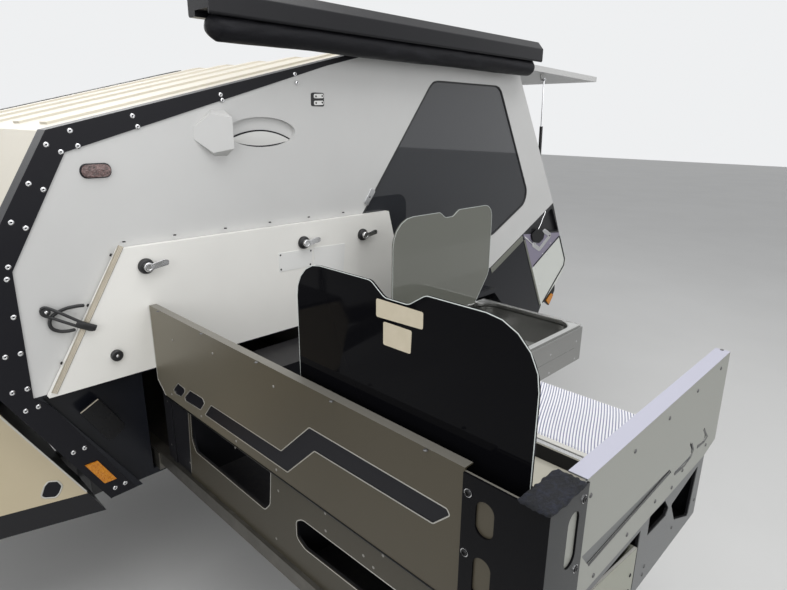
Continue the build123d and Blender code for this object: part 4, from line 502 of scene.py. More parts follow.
def domed_plate(left, right, top, bottom, crown, side, y, rows=12, columns=48):
    """A domed plate: across runs from one tip to the other, the two edges are half cosine arches between the tips,
    and the crown is a sine from edge to edge. The back copies the rim 3 mm deeper."""
    across = np.linspace(-1, 1, columns)[None, :]
    up = np.linspace(0, 1, rows)[:, None]
    arch = np.cos(np.pi / 2 * across) ** 0.8
    station = (left[0] + right[0]) / 2 + (right[0] - left[0]) / 2 * across + 0 * up
    level = left[1] + (right[1] - left[1]) * (across + 1) / 2
    low, high = level + (bottom - level) * arch, level + (top - level) * arch
    dome = crown * np.sin(np.pi * up) * arch
    face = place(station, side * (y + dome), low + (high - low) * up)
    back = place(station[:2], side * (y - 3.0), np.concatenate([high, low]))
    return skin(np.concatenate([face, back]), closed_down=True), place(
        np.concatenate([station[0], station[0, ::-1]]), side * y, np.concatenate([low[0], high[0, ::-1]]))


DISH = ((2438, 1587), (2682, 1583), 1616, 1565)
DISH_FACE = 789.0
dish_paint = coat("dish_paint", (0.66, 0.66, 0.64), 0.30, peel=0.0001, dust=0.1)
# Painted shade: a black strip round each dish plate stands for the shade in the gap.
dish_gap_shade = [(-2.4, -2.5), (-2.4, 0.8), (2.4, 0.8), (2.4, -2.5)]
dish_plates, dish_gap_shades = [], []
for side in SIDES:
    plate, rim = domed_plate(*DISH, 2.5, side, DISH_FACE)
    dish_plates.append(plate)
    dish_gap_shades.append(carried(dish_gap_shade, rim, (0, side, 0)))
build("dish_plates", dish_plates, dish_paint)
build("dish_plate_gap_shades", dish_gap_shades, trim_paint)

# Kitchen tray: folded sheet steel, sprayed black inside and out, with taupe plates riveted to its front, darkened
# by painted shade, and a grey one to its end. The front plates have large cut-outs with bright cut edges.
tray_black = coat("tray_black", (0.010, 0.010, 0.012), 0.36, peel=0.0002, dust=0.06, specular_ior_level=0.25)
tray_black.dress("kitchen_frame", "awning_case", "front_box_lid")
TAUPE = (0.105, 0.090, 0.060)
panel_paint = coat("panel_paint", TAUPE, 0.40, peel=0.00015, dust=0.16, metallic=0.2)
panel_cloud = panel_paint.noise(3.0, 5.0)
# Painted shade: the front plates' taupe is set darker than the shield's same taupe; the grey end plate keeps its own
# tone.
shaded_panel_tone = panel_paint.between(panel_cloud, (0.044, 0.038, 0.025), (0.052, 0.045, 0.030))
end_tone = panel_paint.between(panel_cloud, (0.130, 0.134, 0.136), (0.146, 0.150, 0.152))
END_SKIN = 2.1615
panel_paint.set("Base Color", panel_paint.between(panel_paint.axis("Y") > END_SKIN, shaded_panel_tone, end_tone))
panel_paint.dress("kitchen_panels")
FRONT_WINDOWS = (((1024, 829), (1016, 740), (1034, 702), (1398, 696), (1424, 725), (1436, 829)),
                 ((1558, 755), (1533, 738), (1533, 690), (1562, 675), (2030, 690), (2052, 712),
                  (2052, 748), (2034, 762)))


def on_front(outline, station):
    """Frame points of a (y, height) outline on a cross plane."""
    outline = np.array(outline, float)
    return place(station, outline[:, 0], outline[:, 1])


edge_bead = np.array([(-1.3, -0.4), (-1.2, 0.5), (0, 0.9), (1.2, 0.5), (1.3, -0.4)])
flat_bead = edge_bead * (1, 0.2)
edge_metal = Finish("cut_edge", (0.55, 0.54, 0.50), 0.34, 0.85).worn(0.25, 0.25, 50.0)
plate_zinc = Finish("plate_zinc", (0.30, 0.29, 0.27), 0.4, 0.7).worn(0.3, 0.2, 60.0)
dull_zinc = Finish("dull_zinc", (0.13, 0.13, 0.13), 0.45, 0.7).worn(0.35, 0.2, 60.0)
PLATE_FACE, FRAME_FACE, END_FACE = 2117.3, 2121.0, 2164.0
plate_edges = [carried(flat_bead, on_front(rounded(window, 10), PLATE_FACE), AHEAD) for window in FRONT_WINDOWS]
plate_edges.append(carried(flat_bead, on_front([(1010, 829), (991, 610)], PLATE_FACE), AHEAD, closed=False))
build("panel_edges", plate_edges, edge_metal)
PANEL_SPOTS = [(1464, 786), (1270, 820), (1645, 820), (1827, 820), (1769, 784), (1645, 774), (1443, 634), (1799, 773)]
FRAME_SPOTS = [(863, 804), (858, 649), (979, 638)]
END_SPOTS = [(2776, 705), (2613, 693), (2608, 674), (2939, 700), (2640, 850), (2900, 838), (2240, 850), (2240, 690)]
flush_rivet = lathe([(3.6, 0.0), (3.4, 0.12), (1.4, 0.18), (0.0, 0.2)], 14)
small_rivet = lathe([(4.6, 0.0), (4.4, 1.0), (3.2, 1.9), (1.6, 2.3), (0.0, 2.4)], 14)
fasteners("panel_rivets", flush_rivet, plate_zinc, "steel", (on_front(PANEL_SPOTS, PLATE_FACE), AHEAD),
          (on_front(FRAME_SPOTS, FRAME_FACE), AHEAD))
fasteners("end_rivets", small_rivet, dull_zinc, "steel", (on_side(END_SPOTS, END_FACE), LEFT))

# Wind shields: folded plates, taupe in front and grey-green at the end, with slots cut by laser, the front ones
# backed in black and the end ones edged with painted shade. Their cut edges are bright, and rivets and screws hold
# their catches and the black corner post.
black_steel = Finish("black_steel", (0.012, 0.012, 0.013), 0.3, 0.6).worn(0.2, 0.2, 70.0)
taupe = coat("taupe_paint", TAUPE, 0.40, peel=0.00015, dust=0.10, metallic=0.25)
# Painted light: the taupe runs from lighter near the trailer's middle to darker towards its outer end, and faces
# turned up, the top flange, are painted lighter still.
PAINTED_SHEEN_INNER, PAINTED_SHEEN_OUTER, LIT_FLANGE_FACING = 0.9, 1.7, 0.8
taupe_painted_sheen = taupe.between(taupe.axis("Y").step(PAINTED_SHEEN_INNER, PAINTED_SHEEN_OUTER), (0.175, 0.158, 0.120),
                            (0.072, 0.061, 0.040))
taupe.set("Base Color", taupe.between(taupe.facing("Z") > LIT_FLANGE_FACING, taupe_painted_sheen, (0.20, 0.19, 0.165)))
taupe.dress("front_shield")


def slab(face, back):
    """A flat plate between two outlines of the same count, walled round its edge and capped."""
    count = len(face)
    walls = [[i, (i + 1) % count, count + (i + 1) % count, count + i] for i in range(count)]
    return np.vstack([face, back]), walls + [list(range(count))[::-1], list(range(count, 2 * count))]


FRONT_CUTS = (((972, 906), (1012, 903), (1012, 891), (984, 867), (950, 864), (936, 873)),
              ((1046, 909), (1120, 911), (1129, 899), (1101, 868), (1010, 863), (1008, 874)),
              ((1125, 862), (1514, 864), (1620, 967), (1956, 971), (1993, 1008), (1986, 1018), (1604, 1018),
               (1492, 911), (1166, 907)))
SHIELD_FACE = 2113.0
SHIELD_SIDE = [(830, 1112), (830, 873), (877, 833)]
SHIELD_FOOT_SHADOW = [(880, 831.5), (2019, 831.5)]
SHIELD_SLIT_SHADOWS = ([(2277, 916), (2655, 925)], [(2692, 899), (2758, 891), (2799, 896), (2810, 909), (2789, 935)],
                [(2839, 907), (2894, 896), (2915, 902), (2870, 940)])
END_SHIELD_FACE = 2173.0
BACKING_FRONT, BACKING_BACK = 2114.2, 2115.4
shield_edges = [carried(edge_bead, on_front(rounded(cut, 4), SHIELD_FACE), AHEAD) for cut in FRONT_CUTS]
shield_edges.append(carried(edge_bead * 1.3, on_front(SHIELD_SIDE, SHIELD_FACE), AHEAD, closed=False))
build("shield_edges", shield_edges, edge_metal, "shields")
# Painted shadow: a black bead along the front shield's foot stands for the shadow that the shield casts on the plate
# below.
build("shield_foot_shadow", [carried(edge_bead * 2.0, on_front(SHIELD_FOOT_SHADOW, SHIELD_FACE), AHEAD, closed=False)],
      black_steel, "shields")
build("shield_backing", [slab(on_front(cut, BACKING_FRONT), on_front(cut, BACKING_BACK)) for cut in FRONT_CUTS],
      trim_paint, "shields")
# Painted shade: black strips along the lower edges of the end shield's slots stand for the shade inside the cuts.
slit_shadow_profile = [(-3.0, -0.2), (-3.0, 0.3), (3.0, 0.3), (3.0, -0.2)]
build("shield_slit_shadows", [carried(slit_shadow_profile, on_side(slit, END_SHIELD_FACE), LEFT, closed=False)
                       for slit in SHIELD_SLIT_SHADOWS], black_steel, "shields")
end_paint = coat("end_paint", (0.27, 0.275, 0.245), 0.42, peel=0.00015, dust=0.14, metallic=0.15)
# Painted light and shade: above 1110 mm the end shield's upward flange is painted a light blue-grey for light on it,
# and faces set back 0.5 to 3.5 mm behind its skin are painted darker for the shade in its cuts and recesses.
LIT_TOP_FROM, LIT_TOP_TO = 0.6095, 0.6105
SHADE_INNER, SHADE_OUTER = 2.1695, 2.1725
lit_top_face = end_paint.axis("Z").step(LIT_TOP_FROM, LIT_TOP_TO)
set_back_shade = (end_paint.axis("Y") > SHADE_INNER) * (SHADE_OUTER - end_paint.axis("Y") > 0.0)
plate_tone = end_paint.between(end_paint.noise(3.0, 5.0), (0.30, 0.305, 0.275), (0.335, 0.34, 0.31))
shaded_end_face_tone = end_paint.between(set_back_shade, plate_tone, (0.14, 0.145, 0.145))
end_paint.set("Base Color", end_paint.between(lit_top_face, shaded_end_face_tone, (0.45, 0.45, 0.53)))
end_paint.dress("end_shield")
post_paint = coat("post_paint", (0.008, 0.009, 0.013), 0.26, peel=0.0001, dust=0.04, specular_ior_level=0.08)
# One black paint in two tones: the post's outer end face is near black, and its other faces are painted lighter, a
# painted sheen.
post_painted_sheen = post_paint.between(post_paint.noise(4.0, 4.0), (0.034, 0.036, 0.037), (0.046, 0.048, 0.049))
POST_SKIN = 2.1765
post_paint.set("Base Color", post_paint.between(post_paint.axis("Y") > POST_SKIN, (0.004, 0.004, 0.005), post_painted_sheen))
post_paint.dress("corner_post")
SHIELD_SPOTS = [(1200, 1069), (1475, 1070), (920, 852), (1102, 849), (1287, 849), (1468, 849), (967, 1041)]
END_SHIELD_SPOTS = [(2922, 1085), (2759, 1082), (2591, 1079), (2422, 1077), (2248, 1072), (2747, 884), (2584, 885),
                    (2444, 882), (2303, 877), (2912, 880), (2686, 868)]
END_FLANGE_SPOT = place([2980], [2155], [1111])
FLANGE_SPOTS = place(2106, [905, 1160, 1420, 1690, 1940], 1114)
POST_FRONT, POST_END = 2109.0, 2177.0
POST_SPOTS = [(on_front([(2031, 1075), (2030, 958)], POST_FRONT), AHEAD),
              (on_side([(2214, 1085), (2212, 953)], POST_END), LEFT)]
shield_rivet = (small_rivet[0] * 0.8, small_rivet[1])
screw_head = lathe([(6.4, 0.0), (6.4, 2.2), (5.4, 3.2), (3.4, 3.2), (3.0, 1.4), (0.0, 1.2)], 16)
screw_rim = lathe([(6.4, 0.0), (6.4, 1.4), (7.6, 1.4), (7.6, 0.0)], 16)
fasteners("shield_rivets", shield_rivet, plate_zinc, "steel", (on_front(SHIELD_SPOTS, SHIELD_FACE), AHEAD),
          body="shields")
fasteners("end_shield_rivets", small_rivet, dull_zinc, "steel", (on_side(END_SHIELD_SPOTS, END_SHIELD_FACE), LEFT),
          (END_FLANGE_SPOT, UP), body="shields")
fasteners("flange_screws", small_rivet, dull_zinc, "steel", (FLANGE_SPOTS, UP), body="shields")
fasteners("post_screws", screw_head, black_steel, "trim_black", *POST_SPOTS, body="shields")
fasteners("post_screw_rims", screw_rim, bright, "steel", *POST_SPOTS, body="shields")


# Corner pad: a block of soft foam in a sewn cover of napped navy cloth, pressed over the corner where the
# two wind shields and their post meet.
def pillow(low, high, plan_power, crown_power, rough, rows=40, columns=96, seed=3):
    """A cushion in a box: rows run from the middle of the top over the edge to the middle of the bottom and
    columns round it. A ring is a rounded rectangle, |x|^p + |y|^p = 1, and the height falls from the crown by
    1 - reach^q. Sines with seeded phases roughen it along its radius by up to the rough amount."""
    low, high = np.array(low, float), np.array(high, float)
    middle, half = (low + high) / 2, (high - low) / 2 - rough
    t = np.linspace(0, np.pi, rows)[:, None]
    turn = np.linspace(0, 2 * np.pi, columns, endpoint=False)[None, :]
    ring = np.abs(np.sin(t)) ** 0.5
    reach = 1 / (np.abs(np.cos(turn)) ** plan_power + np.abs(np.sin(turn)) ** plan_power) ** (1 / plan_power)
    x, y = ring * reach * np.cos(turn), ring * reach * np.sin(turn)
    z = np.sign(np.cos(t)) * (1 - ring ** crown_power) ** (1 / 3) + 0 * turn
    phase = np.random.default_rng(seed).uniform(0, 2 * np.pi, (9, 3))
    wave = sum(np.sin((k + 2) * 2.3 * x + a) * np.sin((k + 2) * 1.9 * y + b) * np.cos(3 * z + c)
               for k, (a, b, c) in enumerate(phase)) / 4
    points = np.stack([x, y, z], axis=-1) * half + middle
    return points + np.stack([x, y, z], axis=-1) * rough * np.clip(wave, -1, 1)[..., None] * np.sin(t)[..., None]


pad_cloth = Finish("pad_cloth", (0.014, 0.018, 0.038), 0.95, sheen_weight=0.02)
pad_fleck = pad_cloth.noise(90.0, 8.0, 0.8)
pad_cloth.set("Base Color", pad_cloth.between(pad_fleck.step(0.42, 0.72), (0.002, 0.003, 0.006),
                                              (0.018, 0.022, 0.044)))
pad_cloth.bump(pad_cloth.noise(150.0, 8.0, 0.85), 0.007)
pad_low, pad_high = np.array(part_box("post_pad"))
pad_form = pillow(pad_low, pad_high + (0, 0, 0.005), 16.0, 9.0, 0.0025)
corner_pad = build("corner_pad", [skin(pad_form, closed_across=True)], pad_cloth, "shields", smooth=180,
                   replaces=["post_pad"])

# Kitchen runners and the bay's channels: plain rolled steel, unpainted, dark and a little worn where they
# slide in one another.
runner_steel = Finish("runner_steel", (0.13, 0.125, 0.11), 0.42, 0.9)
runner_steel.clouded((0.09, 0.086, 0.076), (0.19, 0.18, 0.16), 14.0, 5.0).worn(0.28, 0.25, 40.0, 4.0)
runner_steel.dress("kitchen_runners", "bay_channels")

# Stove: a pressed steel hob with a bright rim, sunk in the bench. Its floor is pale enamel, its sides dark, and
# its burners and pan supports matt black. The lid is a thick sheet of black glass with a ground edge.
hob = Finish("hob_steel", (0.5, 0.5, 0.5), 0.25, 1.0, specular_ior_level=0.15)
HOB_RIM, HOB_FLOOR = 0.3655, 0.3268
hob_height = hob.axis("Z")
on_rim = hob_height > HOB_RIM
on_floor = HOB_FLOOR - hob_height > 0.0
enamel = hob.between(hob.noise(12.0, 4.0), (0.42, 0.40, 0.33), (0.52, 0.50, 0.43))
hob_inside = hob.between(on_floor, (0.016, 0.016, 0.017), enamel)
hob.set("Base Color", hob.between(on_rim, hob_inside, (0.60, 0.60, 0.60)))
hob.set("Metallic", on_rim * 1.0)
hob.set("Roughness", (on_rim * -0.25 + hob.noise(50.0, 3.0) * 0.2 + 0.42).held())
hob.dress("stove")
lid_glass = Finish("lid_glass", (0.004, 0.004, 0.005), 0.08, specular_ior_level=0.06)
lid_glass.set("Roughness", (lid_glass.noise(6.0, 4.0).step(0.5, 0.9) * 0.08 + 0.04).held())
lid_glass.dress("stove_lid")
LID_FACE = 2159.0
LID_OUTLINE = [(1517, 884), (1517, 1366), (1748, 1366), (1785, 1340), (1845, 1340), (1885, 1366), (2113, 1366),
               (2113, 884)]
LID_TURNS = [1, 80, 8, 8, 8, 8, 110, 1]
ground_glass = Finish("ground_glass", (0.62, 0.66, 0.64), 0.3, 0.0, coat_weight=0.3).worn(0.2, 0.2, 60.0)
lid_path = on_front(rounded(LID_OUTLINE, LID_TURNS, closed=False), LID_FACE + 0.3)
build("stove_lid_edge", [carried(edge_bead * 0.6, lid_path, AHEAD, closed=False)], ground_glass,
      "stove_cover")


def blank_label(corners, thick=0.35):
    """A thin slab on the lid's face, its corners turned."""
    outline = rounded(corners, 4)
    return slab(on_front(outline, LID_FACE - thick), on_front(outline, LID_FACE + thick))


label_film = Finish("label_film", (0.62, 0.55, 0.42), 0.45).clouded((0.56, 0.50, 0.37), (0.65, 0.58, 0.45), 40.0)
build("stove_lid_labels", [blank_label([(1764, 1335), (1881, 1335), (1881, 1303), (1764, 1299)]),
                           blank_label([(1783, 1294), (1855, 1294), (1853, 1249), (1783, 1248)])],
      label_film, "stove_cover")

# Bench mat: a moulded sheet of white rubber, laid loose on the bench behind a cream rail. Fine ribs run
# across it at a slant, and the grooves between them are painted blue-grey as painted shade.
MAT_FRONT, MAT_REAR, MAT_INNER, MAT_OUTER = 2673.0, 2956.0, 1560.0, 2010.0
MAT_FOOT, MAT_MIDDLE, RIB_HALF = 870.2, 875.1, 0.9
RIB_PITCH, RIB_ACROSS, RIB_SLANT, RIB_SWAY = 7.6, 0.898, 0.441, 7.0


def ribbed_mat(rows=72, columns=520):
    """The top follows a sine of the distance across the ribs, one pitch a turn. The ribs lie at a slant and sway
    by a cosine of the station. The rim drops to the bench and the underside is flat."""
    station = np.linspace(MAT_FRONT, MAT_REAR, rows)[:, None]
    y = np.linspace(MAT_INNER, MAT_OUTER, columns)[None, :]
    sway = RIB_SWAY * np.cos((station - MAT_FRONT) / (MAT_REAR - MAT_FRONT) * 3.1)
    turn = (y * RIB_ACROSS + station * RIB_SLANT + sway) / RIB_PITCH * 2 * np.pi
    row, column = np.arange(rows)[:, None], np.arange(columns)[None, :]
    inside = (row > 0) & (row < rows - 1) & (column > 0) & (column < columns - 1)
    top = place(station, y, np.where(inside, MAT_MIDDLE + RIB_HALF * np.sin(turn), MAT_FOOT))
    return skin(top), skin(place(station[[0, -1]], y[:, [0, -1]], MAT_FOOT))


SWAY_RATE, RIB_RATE = 10.954, 826.7
mat_vinyl = Finish("mat_vinyl", (0.78, 0.78, 0.81), 0.55)
sway_turn = (mat_vinyl.axis("X") * -1.0 - MAT_FRONT / 1000) * SWAY_RATE + 1.5708
mat_sway = sway_turn.sine() * (RIB_SWAY / 1000)
rib_turn = (mat_vinyl.axis("Y") * RIB_ACROSS - mat_vinyl.axis("X") * RIB_SLANT + mat_sway) * RIB_RATE
# Painted shade: the white rubber is painted blue-grey in the grooves between the ribs.
rib_groove_shade = rib_turn.sine() * 0.5 + 0.5
mat_vinyl.set("Base Color", mat_vinyl.between(rib_groove_shade.step(0.18, 0.52), (0.25, 0.26, 0.37), (0.86, 0.86, 0.88)))
mat_vinyl.bump(mat_vinyl.noise(300.0, 3.0), 0.0002)
build("ribbed_mat", ribbed_mat(), mat_vinyl, smooth=60, replaces=["bench_mat"])
cream_rail = coat("cream_rail", (0.62, 0.61, 0.57), 0.4, peel=0.0001, dust=0.1)
rail_profile = [(-9, -5), (-9, 1), (-6, 2.5), (6, 2.5), (9, 1), (9, -5)]
build("mat_rail", [carried(rail_profile, place(2664, [1545, 2030], 871), UP, closed=False)], cream_rail,
      bevel=0.0008)

# Sink: pressed and polished stainless steel with a folded rim, creases that drain its bowl, and sheets
# riveted over its sides. The lid that stands over it is grey glass with a ground edge.
stainless = Finish("stainless", (0.60, 0.60, 0.59), 0.24, 1.0)
# Painted shade: below the rim's level, inside the bowl, the polished steel is painted darker.
BOWL_SHADE_FROM, BOWL_SHADE_TO = 0.363, 0.367
brushed = stainless.noise(6.0, 4.0, 0.5, stainless.stretched((2.0, 60.0, 60.0)))
above_bowl_shade = stainless.axis("Z").step(BOWL_SHADE_FROM, BOWL_SHADE_TO)
polished = stainless.between(stainless.noise(5.0, 4.0), (0.54, 0.54, 0.52), (0.66, 0.66, 0.65))
stainless.set("Base Color", stainless.between(above_bowl_shade, (0.34, 0.34, 0.33), polished))
stainless.set("Roughness", (brushed * 0.16 + 0.16).held())
stainless.bump(brushed, 0.00015)
stainless.dress("sink")
cover_glass = Finish("cover_glass", (0.18, 0.185, 0.16), 0.06, alpha=0.84, coat_weight=0.2, coat_roughness=0.02)
cover_glass.set("Roughness", (cover_glass.noise(5.0, 4.0).step(0.5, 0.9) * 0.08 + 0.04).held())
cover_glass.dress("sink_lid")
COVER_FACE = 1057.0
COVER = [(2925, 884), (2925, 1309), (3187, 1309), (3221, 1285), (3269, 1285), (3307, 1309), (3540, 1309),
         (3540, 1004), (3450, 884)]
COVER_TURNS = [1, 105, 8, 8, 8, 8, 55, 24, 24]
cover_path = on_side(rounded(COVER, COVER_TURNS, closed=False), COVER_FACE)
build("sink_lid_edge", [carried(edge_bead * 0.6, cover_path, LEFT, closed=False)], ground_glass,
      "sink_cover")
SINK_NEAR, SINK_FAR, SINK_INNER, SINK_OUTER = 2972, 3552, 1030, 1510
BENCH_TOP, BOWL_FLOOR, DRAIN = 870, 724, (3308, 1270)
bead_path = place([SINK_NEAR + 2, SINK_FAR - 2, SINK_FAR - 2, SINK_NEAR + 2],
                  [SINK_INNER + 2, SINK_INNER + 2, SINK_OUTER - 2, SINK_OUTER - 2], BENCH_TOP)
bead_profile = [(-4, -1), (-4, 0.8), (-1.5, 2.2), (1.5, 2.2), (4, 0.8), (4, -1)]
drain = lathe([(0.0, 1.0), (17.0, 1.2), (19.0, 2.6), (27.0, 2.4), (30.0, 0.4), (30.0, -0.5)], 28)
build("sink_fittings", [carried(bead_profile, bead_path, UP), copies(drain, place(*DRAIN, BOWL_FLOOR), UP)],
      stainless, "sink_unit", bevel=0.0004)
RIM = ((-0.4, 4, 862.0), (-0.4, 4, 870.4), (3, 8, 871.0), (10, 70, 871.0), (12, 74, 872.8), (15, 78, 873.0),
       (17.4, 82, 871.0), (18, 84, 857.0), (16.6, 82, 857.0), (15.6, 80, 868.6), (10, 70, 868.6))


def rim_ring(inset, turn, height):
    """Frame points of the sink's outline, moved inwards by the inset and with its corners turned."""
    near, far, low, high = SINK_NEAR + inset, SINK_FAR - inset, SINK_INNER + inset, SINK_OUTER - inset
    ring = rounded([(near, low), (far, low), (far, high), (near, high)], turn, 10)
    return place(ring[:, 0], ring[:, 1], height)


sink_rim = np.array([rim_ring(*row) for row in RIM])
crease_profile = [(-4, -0.6), (-3, 0.5), (0, 1.0), (3, 0.5), (4, -0.6)]
creases = [carried(crease_profile, place(DRAIN[0] + back * np.array([46, 105, 150]),
                                         DRAIN[1] + out * np.array([40, 110, 165]),
                                         BOWL_FLOOR + np.array([0, 0, 0.6])), UP, closed=False)
           for back, out in ((1, 1), (1, -1), (-0.7, 1), (-0.7, -1))]
build("sink_rim", [skin(sink_rim, closed_down=True, closed_across=True)] + creases, stainless,
      "sink_unit")
SINK_SIDE = [(2974, 724), (2974, 864), (3550, 864), (3550, 724)]
OUTER_SHEET, INNER_SHEET = (1520.9, 1509.0), (1019.1, 1031.0)
build("sink_side_sheets", [slab(on_side(SINK_SIDE, face), on_side(SINK_SIDE, back))
                           for face, back in (OUTER_SHEET, INNER_SHEET)],
      stainless, "sink_unit", bevel=0.0008)
side_spots = [(station, height) for station in (3107, 3307, 3507) for height in (737, 812)]
flat_rivet = (small_rivet[0] * (0.8, 0.8, 0.2), small_rivet[1])
fasteners("sink_rivets", flat_rivet, bright, "steel", (on_side(side_spots, OUTER_SHEET[0]), LEFT), body="sink_unit")

# Drawer: folded sheet steel with a pale satin front, held by black rivets at its corners, and a cream
# folded lip that slopes along its top.
drawer_paint = coat("drawer_paint", (0.30, 0.305, 0.25), 0.42, peel=0.00015, dust=0.12)
drawer_paint.dress("drawer")
DRAWER_SPOTS = [(2528, 724), (2400, 724), (2286, 724), (2528, 682), (2286, 682)]
fasteners("drawer_rivets", small_rivet, black_steel, "trim_black", (on_side(DRAWER_SPOTS, END_FACE), LEFT),
          body="drawer_box")
lip_path = on_side([(2265, 817), (2330, 817), (2546, 782)], 2162.0)
lip_profile = [(-2, -4), (-2, 1.2), (2, 1.2), (2, -4)]
build("drawer_lip", [carried(lip_profile, lip_path, LEFT, closed=False)], cream_rail, "drawer_box")

# Kitchen bay and bed deck: the bay is lined with painted sheet and the deck is a plain board, screwed down
# on the frame. Both show through the openings.
liner = coat("bay_lining", (0.16, 0.155, 0.15), 0.55, peel=0.0003, dust=0.3)
liner.dress("kitchen_bay")
board = Finish("deck_board", (0.42, 0.31, 0.20), 0.6)
grain = board.noise(6.0, 6.0, 0.6, board.stretched((1.2, 9.0, 9.0)))
board.set("Base Color", board.between(grain.step(0.3, 0.7), (0.33, 0.23, 0.14), (0.52, 0.40, 0.27)))
board.bump(grain, 0.0004)
board.dress("bed_deck")

# Mattress: a block of foam in a sewn grey woven cover, quilted in shallow channels across the bed. It lies
# loose on the deck.
bed_cloth = Finish("bed_cloth", (0.30, 0.30, 0.32), 0.9, sheen_weight=0.3)
WEAVE_RATE, CHANNEL_RATE = 2400.0, 41.9
weave = (bed_cloth.axis("X") * WEAVE_RATE).sine() * (bed_cloth.axis("Y") * WEAVE_RATE).sine() * 0.5 + 0.5
channel_wave = (bed_cloth.axis("X") * CHANNEL_RATE).sine()
channel = (channel_wave * channel_wave).step(0.0, 0.35)
bed_cloth.set("Base Color", bed_cloth.between(weave * 0.5 + bed_cloth.noise(7.0) * 0.5, (0.24, 0.24, 0.26),
                                              (0.36, 0.36, 0.38)))
bed_cloth.bump(channel * 0.85 + weave * 0.15, 0.006)
bed_low, bed_high = np.array(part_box("mattress"))
bed_form = pillow(bed_low, bed_high, 14.0, 10.0, 0.004, rows=72, columns=200, seed=5)
bed = build("bed_mattress", [skin(bed_form, closed_across=True)], bed_cloth, smooth=180,
            replaces=["mattress"])

# Front box: pressed aluminium, black, with cream side panels. Each has a plain black strip along its foot and a
# dark oval hole in a bright ring.
box_paint = coat("box_paint", (0.010, 0.010, 0.012), 0.32, peel=0.00015, dust=0.08, specular_ior_level=0.25)
STRIP_TOP, SIDE_FACING = 0.038, 0.35
faces_side = box_paint.facing("Y")
cream_side = (faces_side * faces_side > SIDE_FACING) * (box_paint.axis("Z") > STRIP_TOP)
cream = box_paint.between(box_paint.noise(3.0, 5.0), (0.50, 0.43, 0.29), (0.58, 0.50, 0.36))
box_paint.set("Base Color", box_paint.between(cream_side, (0.014, 0.014, 0.016), cream))
box_paint.dress("front_box")
BOX_STATION, BOX_HALF, BOX_WIDENING = 1786, 733.8, 0.287
BOX_FACING = (0.276, 0.961)


def on_box(outline, off, side):
    """Frame points of a (station, height) outline on the box's side, which widens with the station."""
    station, height = np.array(outline, float).T
    return place(station, side * (BOX_HALF + BOX_WIDENING * (station - BOX_STATION) + off), height)


def box_trims(profile, outline, off, closed=True):
    """A profile carried along the same outline on both sides of the box."""
    return [carried(profile, on_box(outline, off, side), (BOX_FACING[0], side * BOX_FACING[1], 0), closed)
            for side in SIDES]


HOLE = rounded([(1769, 569), (1781, 600), (1793, 612), (1816, 606), (1825, 586), (1815, 564), (1804, 553),
                (1776, 560)], 5)
BOX_EDGE = [(1713, 849), (1882, 545)]
hole_profile = [(-2.2, -0.5), (-2.2, 1.2), (0, 2.0), (2.2, 1.2), (2.2, -0.5)]
build("box_hole_rings", box_trims(hole_profile, HOLE, 0), edge_metal)
build("box_hole_plugs", [slab(on_box(HOLE, -0.5, side), on_box(HOLE, 0.9, side)) for side in SIDES], trim_paint)
build("box_edges", box_trims(edge_bead * 2.0, BOX_EDGE, 0.3, closed=False), edge_metal)

# Tail box: a folded sheet housing under the hatch, with black sides above. Below a slanting line it is pale
# grey, and above the line a dull purple.
tail_paint = coat("tail_paint", (0.30, 0.28, 0.34), 0.40, peel=0.00015, dust=0.14)
tail_cloud = tail_paint.noise(3.0, 5.0)
PURPLE_SLOPE, PURPLE_RISE = -0.512, 1.893
DARK_SLOPE, DARK_RISE, DARK_SIDE = 0.1, 0.9743, 0.6
tail_line = tail_paint.axis("Z") - tail_paint.axis("X") * PURPLE_SLOPE + PURPLE_RISE
tail_side = tail_paint.axis("Y") * tail_paint.axis("Y") > DARK_SIDE
tail_dark = tail_side * (tail_paint.axis("Z") - tail_paint.axis("X") * DARK_SLOPE > DARK_RISE)
tail_pale = tail_paint.between(tail_cloud, (0.62, 0.64, 0.60), (0.70, 0.72, 0.68))
tail_purple = tail_paint.between(tail_cloud, (0.20, 0.18, 0.25), (0.26, 0.24, 0.31))
tail_tone = tail_paint.between(tail_line > 0.0, tail_pale, tail_purple)
tail_paint.set("Base Color", tail_paint.between(tail_dark, tail_tone, (0.008, 0.008, 0.010)))
tail_paint.dress("tail_box")

# Gas struts: a black painted cylinder below and a bright hard-chromed rod above, screwed into eyes that
# turn on pins.
strut_black = coat("strut_black", (0.012, 0.012, 0.013), 0.25, peel=0.00005, dust=0.05)
strut_black.dress("strut_tubes")
chrome = Finish("rod_chrome", (0.80, 0.80, 0.82), 0.08, 1.0).worn(0.05, 0.08, 40.0)
chrome.dress("strut_rods")

# Awning bag: black coated cloth, sewn into a long sleeve and rolled round the folded awning under its case.
# It is gathered at both ends and creased along its length.
bag_vinyl = Finish("bag_vinyl", (0.011, 0.011, 0.013), 0.45, specular_ior_level=0.15)
bag_crease = bag_vinyl.noise(14.0, 6.0, 0.6, bag_vinyl.stretched((0.5, 2.0, 2.0)))
bag_vinyl.set("Roughness", (bag_crease * 0.35 + 0.28).held())
bag_vinyl.set("Base Color", bag_vinyl.between(bag_crease.step(0.5, 0.8), (0.008, 0.008, 0.010),
                                              (0.022, 0.022, 0.026)))
bag_vinyl.bump(bag_vinyl.noise(420.0, 3.0) * 0.15 + bag_crease * 0.85, 0.004)
bag_low, bag_high = np.array(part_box("awning_bag"))


